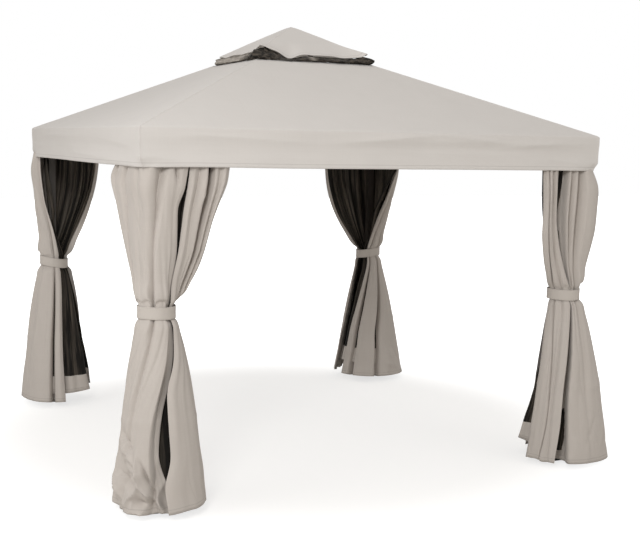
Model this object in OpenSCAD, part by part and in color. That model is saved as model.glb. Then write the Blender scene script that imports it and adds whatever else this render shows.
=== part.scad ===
// Open gazebo with a two-tier fabric roof on a steel tube frame and tied-back corner curtains.
// Millimetres, +Z up, origin on the ground under the middle of the roof. The front is on the -Y side.

/* [Canopy] */
// Side of the square canopy, valance face to valance face
canopy_side = 3000; // [2400:50:3600]
// Height of the eave fold above the ground
eave_z = 2115; // [1900:5:2400]
// Rise of the roof per unit of run, square to the eave
roof_slope = 0.425; // [0.3:0.005:0.55]
// Height of the hanging valance
valance_h = 215; // [120:5:260]
// Thickness of the canopy sheet
sheet_t = 4; // [2:0.5:6]

/* [Vent] */
// Half side of the square vent opening in the main canopy
vent_half = 413; // [300:1:550]
// How far the vent cap's edge lies inside the opening's edge
cap_inset = 28; // [20:1:45]
// Height of the vent cap's edge above the opening's edge
vent_gap = 61; // [50:1:90]
// Rise of the vent cap per unit of run
cap_slope = 0.535; // [0.4:0.005:0.7]
// Thickness of the vent netting
vent_net_t = 5; // [3:0.5:8]
// How far the netting ruffle bulges past the opening's edge
ruffle_out = 22; // [14:1:30]

/* [Frame] */
// Distance of each post's middle inside the canopy's faces
post_inset = 120; // [110:5:160]
// Side of the square post tube
post_w = 50; // [40:1:56]
// Wall of every steel tube
tube_wall = 2; // [1.5:0.5:3]
// Width of the eave beam tube
beam_w = 30; // [25:1:36]
// Height of the eave beam tube
beam_h = 40; // [30:1:60]
// Width of the hip rafter tube
rafter_w = 25; // [20:1:27]
// Depth of the hip rafter tube, square to its run
rafter_h = 40; // [30:1:55]
// Length of each plug that joins two tubes
plug_len = 60; // [40:5:90]
// Width of the vent ring's bars
ring_w = 25; // [18:1:30]
// Width of the crown's sloping struts
strut_w = 16; // [12:1:20]

/* [Feet] */
// Side of the square foot plate
foot_side = 140; // [130:5:170]
// Thickness of the foot plate
foot_t = 6; // [4:0.5:10]
// Spacing of the anchor holes, both ways
anchor_pitch = 100; // [90:5:110]
// Diameter of the anchor holes
anchor_d = 11; // [8:0.5:13]
// Height of the foot's plug inside the post
foot_plug = 90; // [60:5:140]

/* [Rails] */
// Height of the curtain rails' middle above the valance's hem
rail_lift = 45; // [30:1:80]
// Diameter of the curtain rail tubes
rail_d = 16; // [12:1:19]
// Distance of the outer rail inside the canopy's face
rail_inset = 30; // [26:1:36]
// Spacing between the outer and the inner rail
rail_pitch = 45; // [42:1:50]
// Distance of the end hangers from the outer rail's corner
hanger_inset = 170; // [120:5:400]

/* [Curtains] */
// Thickness of the gathered curtain cloth
cloth_t = 6; // [4:0.5:7]
// Thickness of the gathered netting
net_t = 5; // [3:0.5:6]
// Height of the hems above the ground
hem_z = 25; // [15:1:60]
// Height of the middle of the tie bands
tie_z = 1100; // [900:10:1250]
// Height of a tie band
tie_h = 70; // [50:1:90]
// Thickness of a tie band
tie_t = 4; // [2:0.5:6]
// Inner radius of a tie band
tie_r = 100; // [95:1:115]
// How far each gathered bundle sits inside its post's middle
bundle_in = 8; // [4:1:12]
// Radius of the cloth folds at the bottom of each skirt: front left, front right, back left, back right
skirt_r = [250, 270, 250, 280]; // [200:5:300]
// Depth of the folds at the bottom of the skirt
skirt_fold = 25; // [12:1:30]
// Depth of the folds at the rail
rail_fold = 18; // [10:1:19]
// Depth of the cloth folds under the tie band
waist_fold = 8.8; // [6:0.2:9]
// How far the folds swell outwards a little below the valance
swell_fold = 30; // [18:1:36]
// How far the nets lie inside the cloth at the bottom of the skirt
net_skirt_gap = 60; // [50:1:90]
// How far the curtains reach along the side faces, in the same order
side_reach = [660, 450, 290, 450]; // [250:10:800]
// How far the nets reach along the side faces
net_side_reach = [590, 400, 420, 440]; // [250:10:800]
// How far the curtains reach along the front and back faces
face_reach = [480, 380, 510, 470]; // [350:10:800]
// How far the nets reach along the front and back faces
net_face_reach = [430, 350, 490, 430]; // [340:10:800]
// How far round the corner the two halves of a curtain meet at the rail
split_reach = [250, 280, 270, 250]; // [150:10:320]
// How late each bundle draws in towards its tie, where 1 is a straight line
draw_in = [1.2, 1.9, 1.7, 1.7]; // [1:0.1:2.5]

/* [Hidden] */

$fn = 48;
// Clearance between pieces that are fitted together
fit = 0.2;
// Overlap used where one shape is cut from another
eps = 1;
steel = "#3b3733";
greige = "#cdc9c3";
curtain_colour = "#bdb5ab";
net_colour = "#1c1a18";

// Corner positions as signs: front left, front right, back left, back right
CORNERS = [[-1, -1], [1, -1], [-1, 1], [1, 1]];
// Turn of each side from the front: front, right, back, left
SIDES = [0, 90, 180, 270];

half = canopy_side / 2;
post_c = half - post_inset;
sheet_dz = sheet_t * sqrt(1 + roof_slope * roof_slope);
hem_valance_z = eave_z - valance_h;
rail_z = hem_valance_z + rail_lift;
// Height of the canopy's outer face and of its underside at a distance from the middle
function roof_z(r) = eave_z + roof_slope * (half - r);
function under_z(r) = roof_z(r) - sheet_dz;

// The vent cap
cap_half = vent_half - cap_inset;
cap_edge_z = roof_z(vent_half) + vent_gap;
cap_dz = sheet_t * sqrt(1 + cap_slope * cap_slope);
function cap_under_z(r) = cap_edge_z + cap_slope * (cap_half - r) - cap_dz;

// The eave beams and the corner fittings
beam_out = half - sheet_t - fit;
beam_mid = beam_out - beam_w / 2;
beam_top = under_z(beam_out) - fit;
beam_bottom = beam_top - beam_h;
fitting_in = beam_out - beam_w - 26;
fitting_face = fitting_in + 10;

// The hip rafters: heights along the diagonal, at distance c from both middle planes
hip_m = roof_slope / sqrt(2);
hip_dz = rafter_h * sqrt(1 + hip_m * hip_m);
wall_dz = tube_wall * sqrt(1 + hip_m * hip_m);
function rafter_top(c) = under_z(c) - hip_m * rafter_w / 2 - fit;

// The vent ring, its corner blocks and the crown
ring_half = vent_half + 7;
ring_top = under_z(ring_half) - fit;
block_len = 65;
block_face = ring_half - 13;
block_bottom = rafter_top(block_face) - hip_dz;
upright_w = 20;
upright_out = ring_half - block_len + 2 + upright_w;
strut_dz = 22;
hub_r = 50;
hub_h = 60;

// The posts
saddle_len = 40;
saddle_wall = 3;
head_side = 60;
head_t = 4;
// Least height of the saddle under the rafter
saddle_h = 18;
head_z = rafter_top(post_c + saddle_len / 2) - hip_dz - saddle_h - head_t;

// The curtain rails
rail_c = half - rail_inset;
net_rail_c = rail_c - rail_pitch;
rail_end_gap = 15;
hanger_x = rail_c - hanger_inset;
hanger_t = 4;
flange = [40, 24, 3];
cloth_top = rail_z - rail_d / 2 - fit;

// The gathered curtains, drawn for the corner at +X +Y: each half runs along the rail,
// round the tie and round the hem
bundle_c = post_c - bundle_in;
waist_lo = tie_z - tie_h / 2;
waist_hi = tie_z + tie_h / 2;
// Radius with which the cloth and the net go round the corner at the rail
corner_r = [60, 25];
// Angles round the bundle where the side half starts, where the halves meet and where the other half ends
TIE_ANGLES = [[-115, 107, 195], [-115, 108, 195], [-94, 90, 166], [-122, 90, 172]];
HEM_ANGLES = [[-115, 77, 195], [-115, 122, 168], [-84, 90, 160], [-150, 90, 158]];
// Room left between the two halves: along the rail, and as angles at the tie and at the hem
split_gap = 40;
tie_gap_angle = 3;
hem_gap_angle = 8;
// How much further round each bundle the net goes
net_angle = [22, 22, 45, 22];
CLOTH = 0;
NET = 1;
// Folds in the side half and in the other half of the cloth and of the net, and steps to a fold
fold_count = [[6, 2], [3, 2]];
fold_steps = [6, 4];
thick = [cloth_t, net_t];
top_c = [rail_c, net_rail_c];
top_fold = [rail_fold, rail_fold / 2];
swell = [swell_fold, rail_fold / 2];
tie_fold = [waist_fold, waist_fold / 2];
// Clear space between the cloth and the net under the tie band
net_clear = 4;
tie_fold_r = [
    tie_r - fit - cloth_t / 2 - waist_fold,
    tie_r - fit - cloth_t - 2 * waist_fold - net_clear - net_t / 2 - waist_fold / 2
];
bottom_fold = [skirt_fold, skirt_fold / 2];
// Most that a fold's depth can be for its length along the cloth
fold_share = 0.2;

below_hem = hem_valance_z - 8;
LEVELS = [
    hem_z, mix(hem_z, waist_lo, 0.25), mix(hem_z, waist_lo, 0.56),
    mix(hem_z, waist_lo, 0.84), waist_lo, waist_hi,
    mix(waist_hi, below_hem, 0.1), mix(waist_hi, below_hem, 0.28),
    mix(waist_hi, below_hem, 0.55), mix(waist_hi, below_hem, 0.84), below_hem, cloth_top
];

function mix(a, b, t) = a + (b - a) * t;
function clamp01(t) = max(0, min(1, t));
// Share of the way from the rail down to the tie, and from the tie down to the hem
function fall(z) = clamp01((cloth_top - z) / (cloth_top - waist_hi));
function flare(z) = pow(clamp01((waist_lo - z) / (waist_lo - hem_z)), 0.75);
// Strongest swell a little below the valance
function swell_at(z) = sin(180 * sqrt(clamp01((below_hem - z) / (below_hem - waist_hi))));

// Point of the rail line, with a rounded corner, at a length l past the corner's middle
function rail_point(l, kind) =
    let (c = top_c[kind], r = corner_r[kind], arc = r * PI / 4, k = c - r, turn = 45 + 45 * l / arc)
    l < -arc ? [c, k + l + arc]
    : l > arc ? [k - l + arc, c]
    : [k + r * cos(turn), k + r * sin(turn)];

// Ends of one half as [start, end]: along the rail, at the tie and at the hem; half 0 is on the side face.
// The radius at the hem and the draw towards the tie follow
function ends(corner, kind, which) =
    let (
        t = TIE_ANGLES[corner],
        h = HEM_ANGLES[corner],
        over = kind == NET ? net_angle[corner] : 0,
        side_end = kind == NET ? net_side_reach[corner] : side_reach[corner],
        face_end = kind == NET ? net_face_reach[corner] : face_reach[corner],
        bottom_r = skirt_r[corner] - (kind == NET ? net_skirt_gap : 0)
    )
    which == 0
        ? [
            [-side_end, split_reach[corner] - split_gap / 2],
            [t[0] - over, t[1] - tie_gap_angle / 2],
            [h[0] - over, h[1] - hem_gap_angle / 2],
            bottom_r, draw_in[corner]
        ]
        : [
            [split_reach[corner] + split_gap / 2, face_end],
            [t[1] + tie_gap_angle / 2, t[2] + over],
            [h[1] + hem_gap_angle / 2, h[2] + over],
            bottom_r, draw_in[corner]
        ];

// Middle line of the gathered sheet without its folds, with u from 0 to 1 across the half
function base_point(u, z, kind, e) =
    let (
        phi = mix(mix(e[1][0], e[1][1], u), mix(e[2][0], e[2][1], u), flare(z)),
        r = mix(tie_fold_r[kind], e[3], flare(z)),
        ring = [bundle_c + r * cos(phi), bundle_c + r * sin(phi)]
    )
    mix(rail_point(mix(e[0][0], e[0][1], u), kind), ring, pow(fall(z), e[4]));

function unit(v) = v / norm(v);

// Depth of the folds at a height, and how far they are pushed outwards
function fold_depth(z, kind) =
    z < waist_lo ? mix(tie_fold[kind], bottom_fold[kind], flare(z))
    : mix(mix(top_fold[kind], tie_fold[kind], fall(z)), swell[kind], swell_at(z));
function fold_push(z, kind) = swell_at(z) * max(0, swell[kind] - top_fold[kind]);

// Point of the folded middle line at step i
function folded(i, z, kind, e, folds) =
    let (
        n = folds * fold_steps[kind],
        run = (base_point((i + 0.1) / n, z, kind, e) - base_point((i - 0.1) / n, z, kind, e)) * n / 0.2,
        depth = min(fold_depth(z, kind), fold_share * norm(run) / folds),
        d = unit(run),
        out = fold_push(z, kind) + depth * cos(360 * i / fold_steps[kind])
    )
    base_point(i / n, z, kind, e) + out * [d[1], -d[0]];

// Plan point on one face of the sheet; side is 1 outside and -1 inside
function sheet_point(i, z, kind, e, folds, side) =
    let (
        d = unit(folded(i + 0.25, z, kind, e, folds) - folded(i - 0.25, z, kind, e, folds)),
        q = folded(i, z, kind, e, folds) + side * thick[kind] / 2 * [d[1], -d[0]]
    )
    [q[0], q[1], z];

// Closed folded sheet, lofted through the levels
module folded_sheet(kind, e, folds) {
    n = folds * fold_steps[kind] + 1;
    m = len(LEVELS);
    pts = [
        for (z = LEVELS)
            for (side = [1, -1])
                for (i = [0 : n - 1]) sheet_point(i, z, kind, e, folds, side)
    ];
    // Index of a point by level, side and step
    function at(k, side, i) = (2 * k + (side > 0 ? 0 : 1)) * n + i;
    function quad(p, q, r, t) = [[p, q, r], [p, r, t]];
    faces = [
        for (k = [0 : m - 2])
            for (i = [0 : n - 2])
                each concat(
                    quad(at(k, 1, i), at(k + 1, 1, i), at(k + 1, 1, i + 1), at(k, 1, i + 1)),
                    quad(at(k, -1, i), at(k, -1, i + 1), at(k + 1, -1, i + 1), at(k + 1, -1, i))
                ),
        for (k = [0 : m - 2])
            each concat(
                quad(at(k, 1, 0), at(k, -1, 0), at(k + 1, -1, 0), at(k + 1, 1, 0)),
                quad(at(k, 1, n - 1), at(k + 1, 1, n - 1), at(k + 1, -1, n - 1), at(k, -1, n - 1))
            ),
        for (i = [0 : n - 2])
            each concat(
                quad(at(0, 1, i), at(0, 1, i + 1), at(0, -1, i + 1), at(0, -1, i)),
                quad(at(m - 1, 1, i), at(m - 1, -1, i), at(m - 1, -1, i + 1), at(m - 1, 1, i + 1))
            )
    ];
    polyhedron(points = pts, faces = faces);
}

// Both halves of a gathered curtain or net at one corner
module gathered(corner, kind) {
    at_corner(corner)
        for (which = [0, 1])
            folded_sheet(kind, ends(corner, kind, which), fold_count[kind][which]);
}

// Puts a shape made for the +X +Y corner at another corner
module at_corner(corner) {
    mirror([CORNERS[corner][0] < 0 ? 1 : 0, 0, 0])
        mirror([0, CORNERS[corner][1] < 0 ? 1 : 0, 0])
            children();
}

// Turns a shape made for the front to another side
module at_side(side) {
    rotate([0, 0, SIDES[side]]) children();
}

// Extrudes a profile drawn as distance from the middle and height along the front side
module front_profile(length) {
    rotate([0, 0, -90])
        rotate([90, 0, 0])
            linear_extrude(height = length, center = true) children();
}

// Extrudes a profile drawn as distance along the diagonal and height
module diagonal_profile(width) {
    rotate([0, 0, 45])
        rotate([90, 0, 0])
            linear_extrude(height = width, center = true) children();
}

// Everything inside the two hip planes of the front side
module front_wedge(reach, gap) {
    linear_extrude(height = 2 * eave_z)
        polygon([[0, -gap], [-reach, -reach - gap], [reach, -reach - gap]]);
}

// Solid square pyramid
module pyramid(base_half, base_z, slope) {
    intersection_for (turn = [0, 90])
        rotate([0, 0, turn])
            rotate([90, 0, 0])
                linear_extrude(height = 2 * base_half, center = true)
                    polygon([[-base_half, base_z], [base_half, base_z], [0, base_z + slope * base_half]]);
}

// Space under the canopy's sheet, lowered by a clearance
module under_canopy(clear) {
    pyramid(2 * half, under_z(2 * half) - clear, roof_slope);
}

// Sloping bar on the diagonal, from c0 to c1, with its top drop below the rafter line
module hip_bar(c0, c1, width, drop, depth) {
    diagonal_profile(width)
        polygon([
            [c0 * sqrt(2), rafter_top(c0) - drop], [c1 * sqrt(2), rafter_top(c1) - drop],
            [c1 * sqrt(2), rafter_top(c1) - drop - depth], [c0 * sqrt(2), rafter_top(c0) - drop - depth]
        ]);
}

// Plug that fits into the end of a rafter
module rafter_plug(c0, c1) {
    hip_bar(c0, c1, rafter_w - 2 * (tube_wall + fit), wall_dz + fit, hip_dz - 2 * (wall_dz + fit));
}

// Upright square tube or bar
module square_bar(side, z0, z1) {
    translate([-side / 2, -side / 2, z0]) cube([side, side, z1 - z0]);
}

module foot(corner) {
    color(steel) at_corner(corner) translate([post_c, post_c, 0]) {
        plug = post_w - 2 * (tube_wall + fit);
        difference() {
            square_bar(foot_side, 0, foot_t);
            for (x = [-1, 1], y = [-1, 1])
                translate([x * anchor_pitch / 2, y * anchor_pitch / 2, -eps])
                    cylinder(d = anchor_d, h = foot_t + 2 * eps);
        }
        difference() {
            square_bar(plug, foot_t - fit, foot_t + foot_plug);
            square_bar(plug - 6, foot_t, foot_t + foot_plug + eps);
        }
    }
}

module post(corner) {
    color(steel) at_corner(corner) {
        translate([post_c, post_c, 0]) {
            difference() {
                square_bar(post_w, foot_t, head_z + eps);
                square_bar(post_w - 2 * tube_wall, foot_t - eps, head_z);
            }
            square_bar(head_side, head_z, head_z + head_t);
        }
        // Saddle with two cheeks that the rafter lies in
        reach = saddle_len / 2 / sqrt(2);
        inner = post_c - reach;
        outer = post_c + reach;
        saddle_w = rafter_w + 2 * (saddle_wall + fit);
        difference() {
            diagonal_profile(saddle_w)
                polygon([
                    [inner * sqrt(2), head_z + head_t - fit], [outer * sqrt(2), head_z + head_t - fit],
                    [outer * sqrt(2), rafter_top(outer) - hip_dz / 3],
                    [inner * sqrt(2), rafter_top(inner) - hip_dz / 3]
                ]);
            hip_bar(inner - eps, outer + eps, rafter_w + 2 * fit, 0, hip_dz + fit);
        }
    }
}

module corner_fitting(corner) {
    color(steel) at_corner(corner) {
        plug_w = beam_w - 2 * (tube_wall + fit);
        plug_h = beam_h - 2 * (tube_wall + fit);
        chamfer = 2 * fitting_face - fitting_in;
        intersection() {
            translate([0, 0, beam_bottom])
                linear_extrude(height = 3 * beam_h)
                    polygon([
                        [beam_out, fitting_in], [beam_out, beam_out], [fitting_in, beam_out],
                        [fitting_in, chamfer], [chamfer, fitting_in]
                    ]);
            under_canopy(fit);
        }
        for (flip = [0, 1])
            mirror([flip, -flip, 0])
                translate([fitting_in - plug_len, beam_mid - plug_w / 2, beam_bottom + tube_wall + fit])
                    cube([plug_len + eps, plug_w, plug_h]);
        rafter_plug(fitting_face - plug_len / sqrt(2), fitting_face + eps);
    }
}

module beam(side) {
    color(steel) at_side(side) {
        length = 2 * (fitting_in - fit);
        translate([0, -beam_mid, beam_bottom + beam_h / 2])
            difference() {
                cube([length, beam_w, beam_h], center = true);
                cube([length + 2 * eps, beam_w - 2 * tube_wall, beam_h - 2 * tube_wall], center = true);
            }
    }
}

module rafter(corner) {
    color(steel) at_corner(corner) difference() {
        hip_bar(block_face + fit, fitting_face - fit, rafter_w, 0, hip_dz);
        hip_bar(
            block_face - eps, fitting_face + eps,
            rafter_w - 2 * tube_wall, wall_dz, hip_dz - 2 * wall_dz
        );
    }
}

module vent_ring() {
    color(steel) {
        for (side = [0 : 3])
            at_side(side)
                translate([0, -ring_half + ring_w / 2, ring_top - ring_w / 2])
                    difference() {
                        cube([2 * (ring_half - block_len + eps), ring_w, ring_w], center = true);
                        cube([2 * (ring_half - block_len), ring_w - 2 * tube_wall, ring_w - 2 * tube_wall],
                            center = true);
                    }
        for (corner = [0 : 3])
            at_corner(corner) {
                inner = ring_half - block_len;
                chamfer = 2 * block_face - ring_half;
                translate([0, 0, block_bottom])
                    linear_extrude(height = ring_top - block_bottom)
                        polygon([
                            [inner, inner], [ring_half, inner], [ring_half, chamfer],
                            [chamfer, ring_half], [inner, ring_half]
                        ]);
                rafter_plug(block_face - eps, block_face + plug_len / sqrt(2));
            }
    }
}

module crown() {
    color(steel) intersection() {
        union() {
            for (corner = [0 : 3])
                at_corner(corner)
                    translate([upright_out - upright_w, upright_out - upright_w, ring_top + fit])
                        cube([upright_w, upright_w, 2 * vent_half]);
            difference() {
                for (turn = [45, 135])
                    rotate([0, 0, turn])
                        translate([-upright_out * sqrt(2) + upright_w, -strut_w / 2, ring_top + fit])
                            cube([2 * (upright_out * sqrt(2) - upright_w), strut_w, vent_half]);
                pyramid(2 * cap_half, cap_under_z(2 * cap_half) - fit - strut_dz, cap_slope);
            }
            translate([0, 0, cap_under_z(0) - hub_h]) cylinder(r = hub_r, h = 2 * hub_h);
        }
        pyramid(2 * cap_half, cap_under_z(2 * cap_half) - fit, cap_slope);
    }
}

module curtain_rail(side) {
    color(steel) at_side(side) {
        for (c = [rail_c, net_rail_c])
            translate([0, -c, rail_z])
                rotate([0, 90, 0])
                    difference() {
                        cylinder(d = rail_d, h = 2 * (c - rail_end_gap), center = true);
                        cylinder(d = rail_d - 2 * tube_wall, h = 2 * c, center = true);
                    }
        for (x = [-hanger_x, 0, hanger_x]) {
            translate([x - hanger_t / 2, -rail_c - rail_d / 4, rail_z + rail_d / 2 - tube_wall / 2])
                cube([
                    hanger_t, rail_pitch + rail_d / 2,
                    beam_bottom - fit - rail_z - rail_d / 2 + tube_wall / 2
                ]);
            translate([x - flange[0] / 2, -rail_c - rail_d / 4, beam_bottom - fit - flange[2]])
                cube(flange);
        }
    }
}

module canopy(side) {
    color(greige) at_side(side) intersection() {
        front_profile(2 * half)
            polygon([
                [half, hem_valance_z], [half, eave_z],
                [vent_half, roof_z(vent_half)], [vent_half, under_z(vent_half)],
                [half - sheet_t, under_z(half - sheet_t)], [half - sheet_t, hem_valance_z]
            ]);
        front_wedge(half + eps, fit / 2);
    }
}

module vent_cap() {
    color(greige) difference() {
        pyramid(cap_half, cap_edge_z, cap_slope);
        pyramid(2 * cap_half, cap_under_z(2 * cap_half), cap_slope);
    }
}

module vent_netting() {
    foot_r = vent_half + 8;
    bulge_r = vent_half + ruffle_out;
    bulge_z = roof_z(foot_r) + vent_gap * 0.4;
    top_r = cap_half - 17;
    color(net_colour)
        for (side = [0 : 3])
            at_side(side) intersection() {
                front_profile(2 * half)
                    polygon([
                        [foot_r, roof_z(foot_r) + fit], [bulge_r, bulge_z],
                        [top_r, cap_under_z(top_r) - fit],
                        [top_r - vent_net_t, cap_under_z(top_r - vent_net_t) - fit],
                        [bulge_r - vent_net_t, bulge_z - vent_net_t / 2],
                        [foot_r - vent_net_t, roof_z(foot_r - vent_net_t) + fit]
                    ]);
                front_wedge(half, 0);
            }
}

module curtain(corner) {
    color(curtain_colour) gathered(corner, CLOTH);
}

module netting(corner) {
    color(net_colour) gathered(corner, NET);
}

module tie(corner) {
    color(curtain_colour) at_corner(corner)
        translate([bundle_c, bundle_c, waist_lo])
            difference() {
                cylinder(r = tie_r + tie_t, h = tie_h);
                translate([0, 0, -eps]) cylinder(r = tie_r, h = tie_h + 2 * eps);
            }
}

foot(0);  // foot_front_left
foot(1);  // foot_front_right
foot(2);  // foot_back_left
foot(3);  // foot_back_right
post(0);  // post_front_left
post(1);  // post_front_right
post(2);  // post_back_left
post(3);  // post_back_right
corner_fitting(0);  // corner_fitting_front_left
corner_fitting(1);  // corner_fitting_front_right
corner_fitting(2);  // corner_fitting_back_left
corner_fitting(3);  // corner_fitting_back_right
beam(0);  // beam_front
beam(1);  // beam_right
beam(2);  // beam_back
beam(3);  // beam_left
rafter(0);  // rafter_front_left
rafter(1);  // rafter_front_right
rafter(2);  // rafter_back_left
rafter(3);  // rafter_back_right
vent_ring();
crown();
curtain_rail(0);  // curtain_rail_front
curtain_rail(1);  // curtain_rail_right
curtain_rail(2);  // curtain_rail_back
curtain_rail(3);  // curtain_rail_left
canopy(0);  // canopy_front
canopy(1);  // canopy_right
canopy(2);  // canopy_back
canopy(3);  // canopy_left
vent_netting();
vent_cap();
curtain(0);  // curtain_front_left
curtain(1);  // curtain_front_right
curtain(2);  // curtain_back_left
curtain(3);  // curtain_back_right
netting(0);  // netting_front_left
netting(1);  // netting_front_right
netting(2);  // netting_back_left
netting(3);  // netting_back_right
tie(0);  // tie_front_left
tie(1);  // tie_front_right
tie(2);  // tie_back_left
tie(3);  // tie_back_right
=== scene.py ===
"""Square garden gazebo: two-tier greige canopy on a dark steel frame, with curtains and nets tied back."""

import math

import bmesh
import bpy
import numpy as np
from mathutils import Matrix, Vector


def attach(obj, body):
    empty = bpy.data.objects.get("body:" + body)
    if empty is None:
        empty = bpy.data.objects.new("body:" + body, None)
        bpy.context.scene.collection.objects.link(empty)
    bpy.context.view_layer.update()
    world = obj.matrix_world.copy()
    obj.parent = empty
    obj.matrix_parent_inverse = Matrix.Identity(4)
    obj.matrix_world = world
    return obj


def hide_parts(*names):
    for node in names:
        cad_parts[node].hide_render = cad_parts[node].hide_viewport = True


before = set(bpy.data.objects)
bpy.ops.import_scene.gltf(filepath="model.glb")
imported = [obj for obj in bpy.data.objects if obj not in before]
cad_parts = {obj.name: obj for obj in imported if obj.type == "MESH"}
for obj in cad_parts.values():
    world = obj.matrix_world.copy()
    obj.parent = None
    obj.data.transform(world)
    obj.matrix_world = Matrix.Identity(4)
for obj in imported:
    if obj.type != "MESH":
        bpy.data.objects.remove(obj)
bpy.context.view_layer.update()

# Sizes of the frame and the sewn pieces, in metres
HALF = 1.500
EAVE = 2.115
SLOPE = 0.425
VALANCE = 0.215
HEM = EAVE - VALANCE
VENT = 0.413
CAP = 0.385
VENT_GAP = 0.061
CAP_EDGE = EAVE + SLOPE * (HALF - VENT) + VENT_GAP
CAP_SLOPE = 0.535
RAIL = 1.470
RAIL_Z = 1.945
RAIL_R = 0.008
CLOTH_TOP = 1.9368
BUNDLE = 1.372
TIE_LOW, TIE_HIGH = 1.065, 1.135
TIE_R = 0.1030
CLOTH_TIE_R = 0.0880
CURTAIN_HEM = 0.025
NET_HEM = 0.128
# Thicknesses of the sheets
CANOPY_THICK, RUFFLE_THICK, CURTAIN_THICK, NET_THICK, TIE_THICK = 0.0014, 0.0008, 0.0018, 0.0010, 0.0020

# Corner names with their signs, and the sides with their turns from the front
CORNERS = {"front_left": (-1, -1), "front_right": (1, -1), "back_left": (-1, 1), "back_right": (1, 1)}
SIDES = {"front": 0, "right": 1, "back": 2, "left": 3}


def roof_z(r):
    return EAVE + SLOPE * (HALF - r)


def cap_z(r):
    return CAP_EDGE + CAP_SLOPE * (CAP - r)


def smooth(a, b, x):
    t = np.clip((x - a) / (b - a), 0.0, 1.0)
    return t * t * (3.0 - 2.0 * t)


def mix(a, b, t):
    return a + (b - a) * t


def bump(x, width):
    return np.exp(-((x / width) ** 2))


def soft_noise(x, y, seed):
    """Smooth noise from -1 to 1 with features about one unit across."""
    grid = np.random.default_rng(seed).random((32, 32)) * 2.0 - 1.0
    x, y = np.broadcast_arrays(np.asarray(x, float), np.asarray(y, float))
    i, j = np.floor(x).astype(int), np.floor(y).astype(int)
    fx, fy = x - i, y - j
    fx, fy = fx * fx * (3 - 2 * fx), fy * fy * (3 - 2 * fy)
    g = lambda a, b: grid[a % 32, b % 32]
    return mix(mix(g(i, j), g(i + 1, j), fx), mix(g(i, j + 1), g(i + 1, j + 1), fx), fy)


def deselect():
    bpy.ops.object.select_all(action="DESELECT")


# Materials


def feed(tree, node, inputs):
    """Sets inputs of a node: an output of another node is linked, anything else is stored as a value."""
    for label, value in inputs.items():
        if isinstance(value, bpy.types.NodeSocket):
            tree.links.new(value, node.inputs[label])
        else:
            node.inputs[label].default_value = value


def add_node(tree, kind, inputs=None, **settings):
    node = tree.nodes.new("ShaderNode" + kind)
    for name, value in settings.items():
        setattr(node, name, value)
    feed(tree, node, inputs or {})
    return node


def math_node(tree, operation, *values, clamp=False):
    return add_node(tree, "Math", dict(enumerate(values)), operation=operation, use_clamp=clamp).outputs[0]


def blend_colours(tree, share, a, b):
    return add_node(tree, "Mix", {"Factor": share, "A": a, "B": b}, data_type="RGBA").outputs["Result"]


def noise_node(tree, place, scale, detail=2.0, roughness=0.5):
    inputs = {"Vector": place, "Scale": scale, "Detail": detail, "Roughness": roughness}
    return add_node(tree, "TexNoise", inputs).outputs[0]


def stretched_noise(tree, stretch, detail, roughness=0.5):
    """Noise on the cloth map, with its repeats per metre along and up the cloth."""
    stretched = add_node(tree, "Mapping", {"Vector": cloth_map(tree), "Scale": stretch}).outputs[0]
    return noise_node(tree, stretched, 1.0, detail, roughness)


def cloth_map(tree):
    return add_node(tree, "UVMap", uv_map="cloth").outputs[0]


def edge_mark(tree):
    return add_node(tree, "Attribute", attribute_name="edge").outputs["Fac"]


def relief(tree, height, strength, distance):
    inputs = {"Height": height, "Strength": strength, "Distance": distance}
    return add_node(tree, "Bump", inputs).outputs["Normal"]


def node_group(name, inputs):
    """New group of nodes that gives a colour and a height; returns it, its inputs and its output node."""
    group = bpy.data.node_groups.new(name, "ShaderNodeTree")
    for label, value in inputs.items():
        kind = "NodeSocketColor" if isinstance(value, tuple) else "NodeSocketFloat"
        group.interface.new_socket(label, in_out="INPUT", socket_type=kind).default_value = value
    group.interface.new_socket("Colour", in_out="OUTPUT", socket_type="NodeSocketColor")
    group.interface.new_socket("Height", in_out="OUTPUT", socket_type="NodeSocketFloat")
    return group, group.nodes.new("NodeGroupInput").outputs, group.nodes.new("NodeGroupOutput")


def make_weave_group():
    """Plain weave on a cloth UV map in metres: thread colour, mottling and thread height."""
    group, start, end = node_group("plain_weave", {
        "Colour": (0.5, 0.5, 0.5, 1), "Dark Thread": (0.4, 0.4, 0.4, 1), "Threads per Metre": 700.0, "Mottle": 0.1,
    })
    split = add_node(group, "SeparateXYZ", {0: cloth_map(group)}).outputs
    scale = math_node(group, "MULTIPLY", start["Threads per Metre"], math.pi)
    warp, weft = (math_node(group, "SINE", math_node(group, "MULTIPLY", split[k], scale)) for k in (0, 1))
    height = math_node(group, "MULTIPLY_ADD", math_node(group, "MULTIPLY", warp, weft), 0.5, 0.5)
    # Slubs: threads of slightly different shade along both directions
    slubs = [stretched_noise(group, stretch, 2.0) for stretch in ((140.0, 3.0, 1.0), (3.0, 140.0, 1.0))]
    threads = math_node(group, "MULTIPLY", math_node(group, "ADD", *slubs), 0.6)
    blotches = math_node(group, "MULTIPLY", noise_node(group, cloth_map(group), 5.0, 3.0), 0.8)
    shade = math_node(group, "SUBTRACT", math_node(group, "ADD", threads, blotches), 0.55)
    shade = math_node(group, "MULTIPLY", shade, start["Mottle"], clamp=True)
    colour = blend_colours(group, shade, start["Colour"], start["Dark Thread"])
    feed(group, end, {"Colour": colour, "Height": height})
    return group


# Width of a stitched line and the shade of its thread
STITCH_WIDE = 0.0035
STITCH_SHADE = (0.16, 0.145, 0.125, 1)


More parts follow.
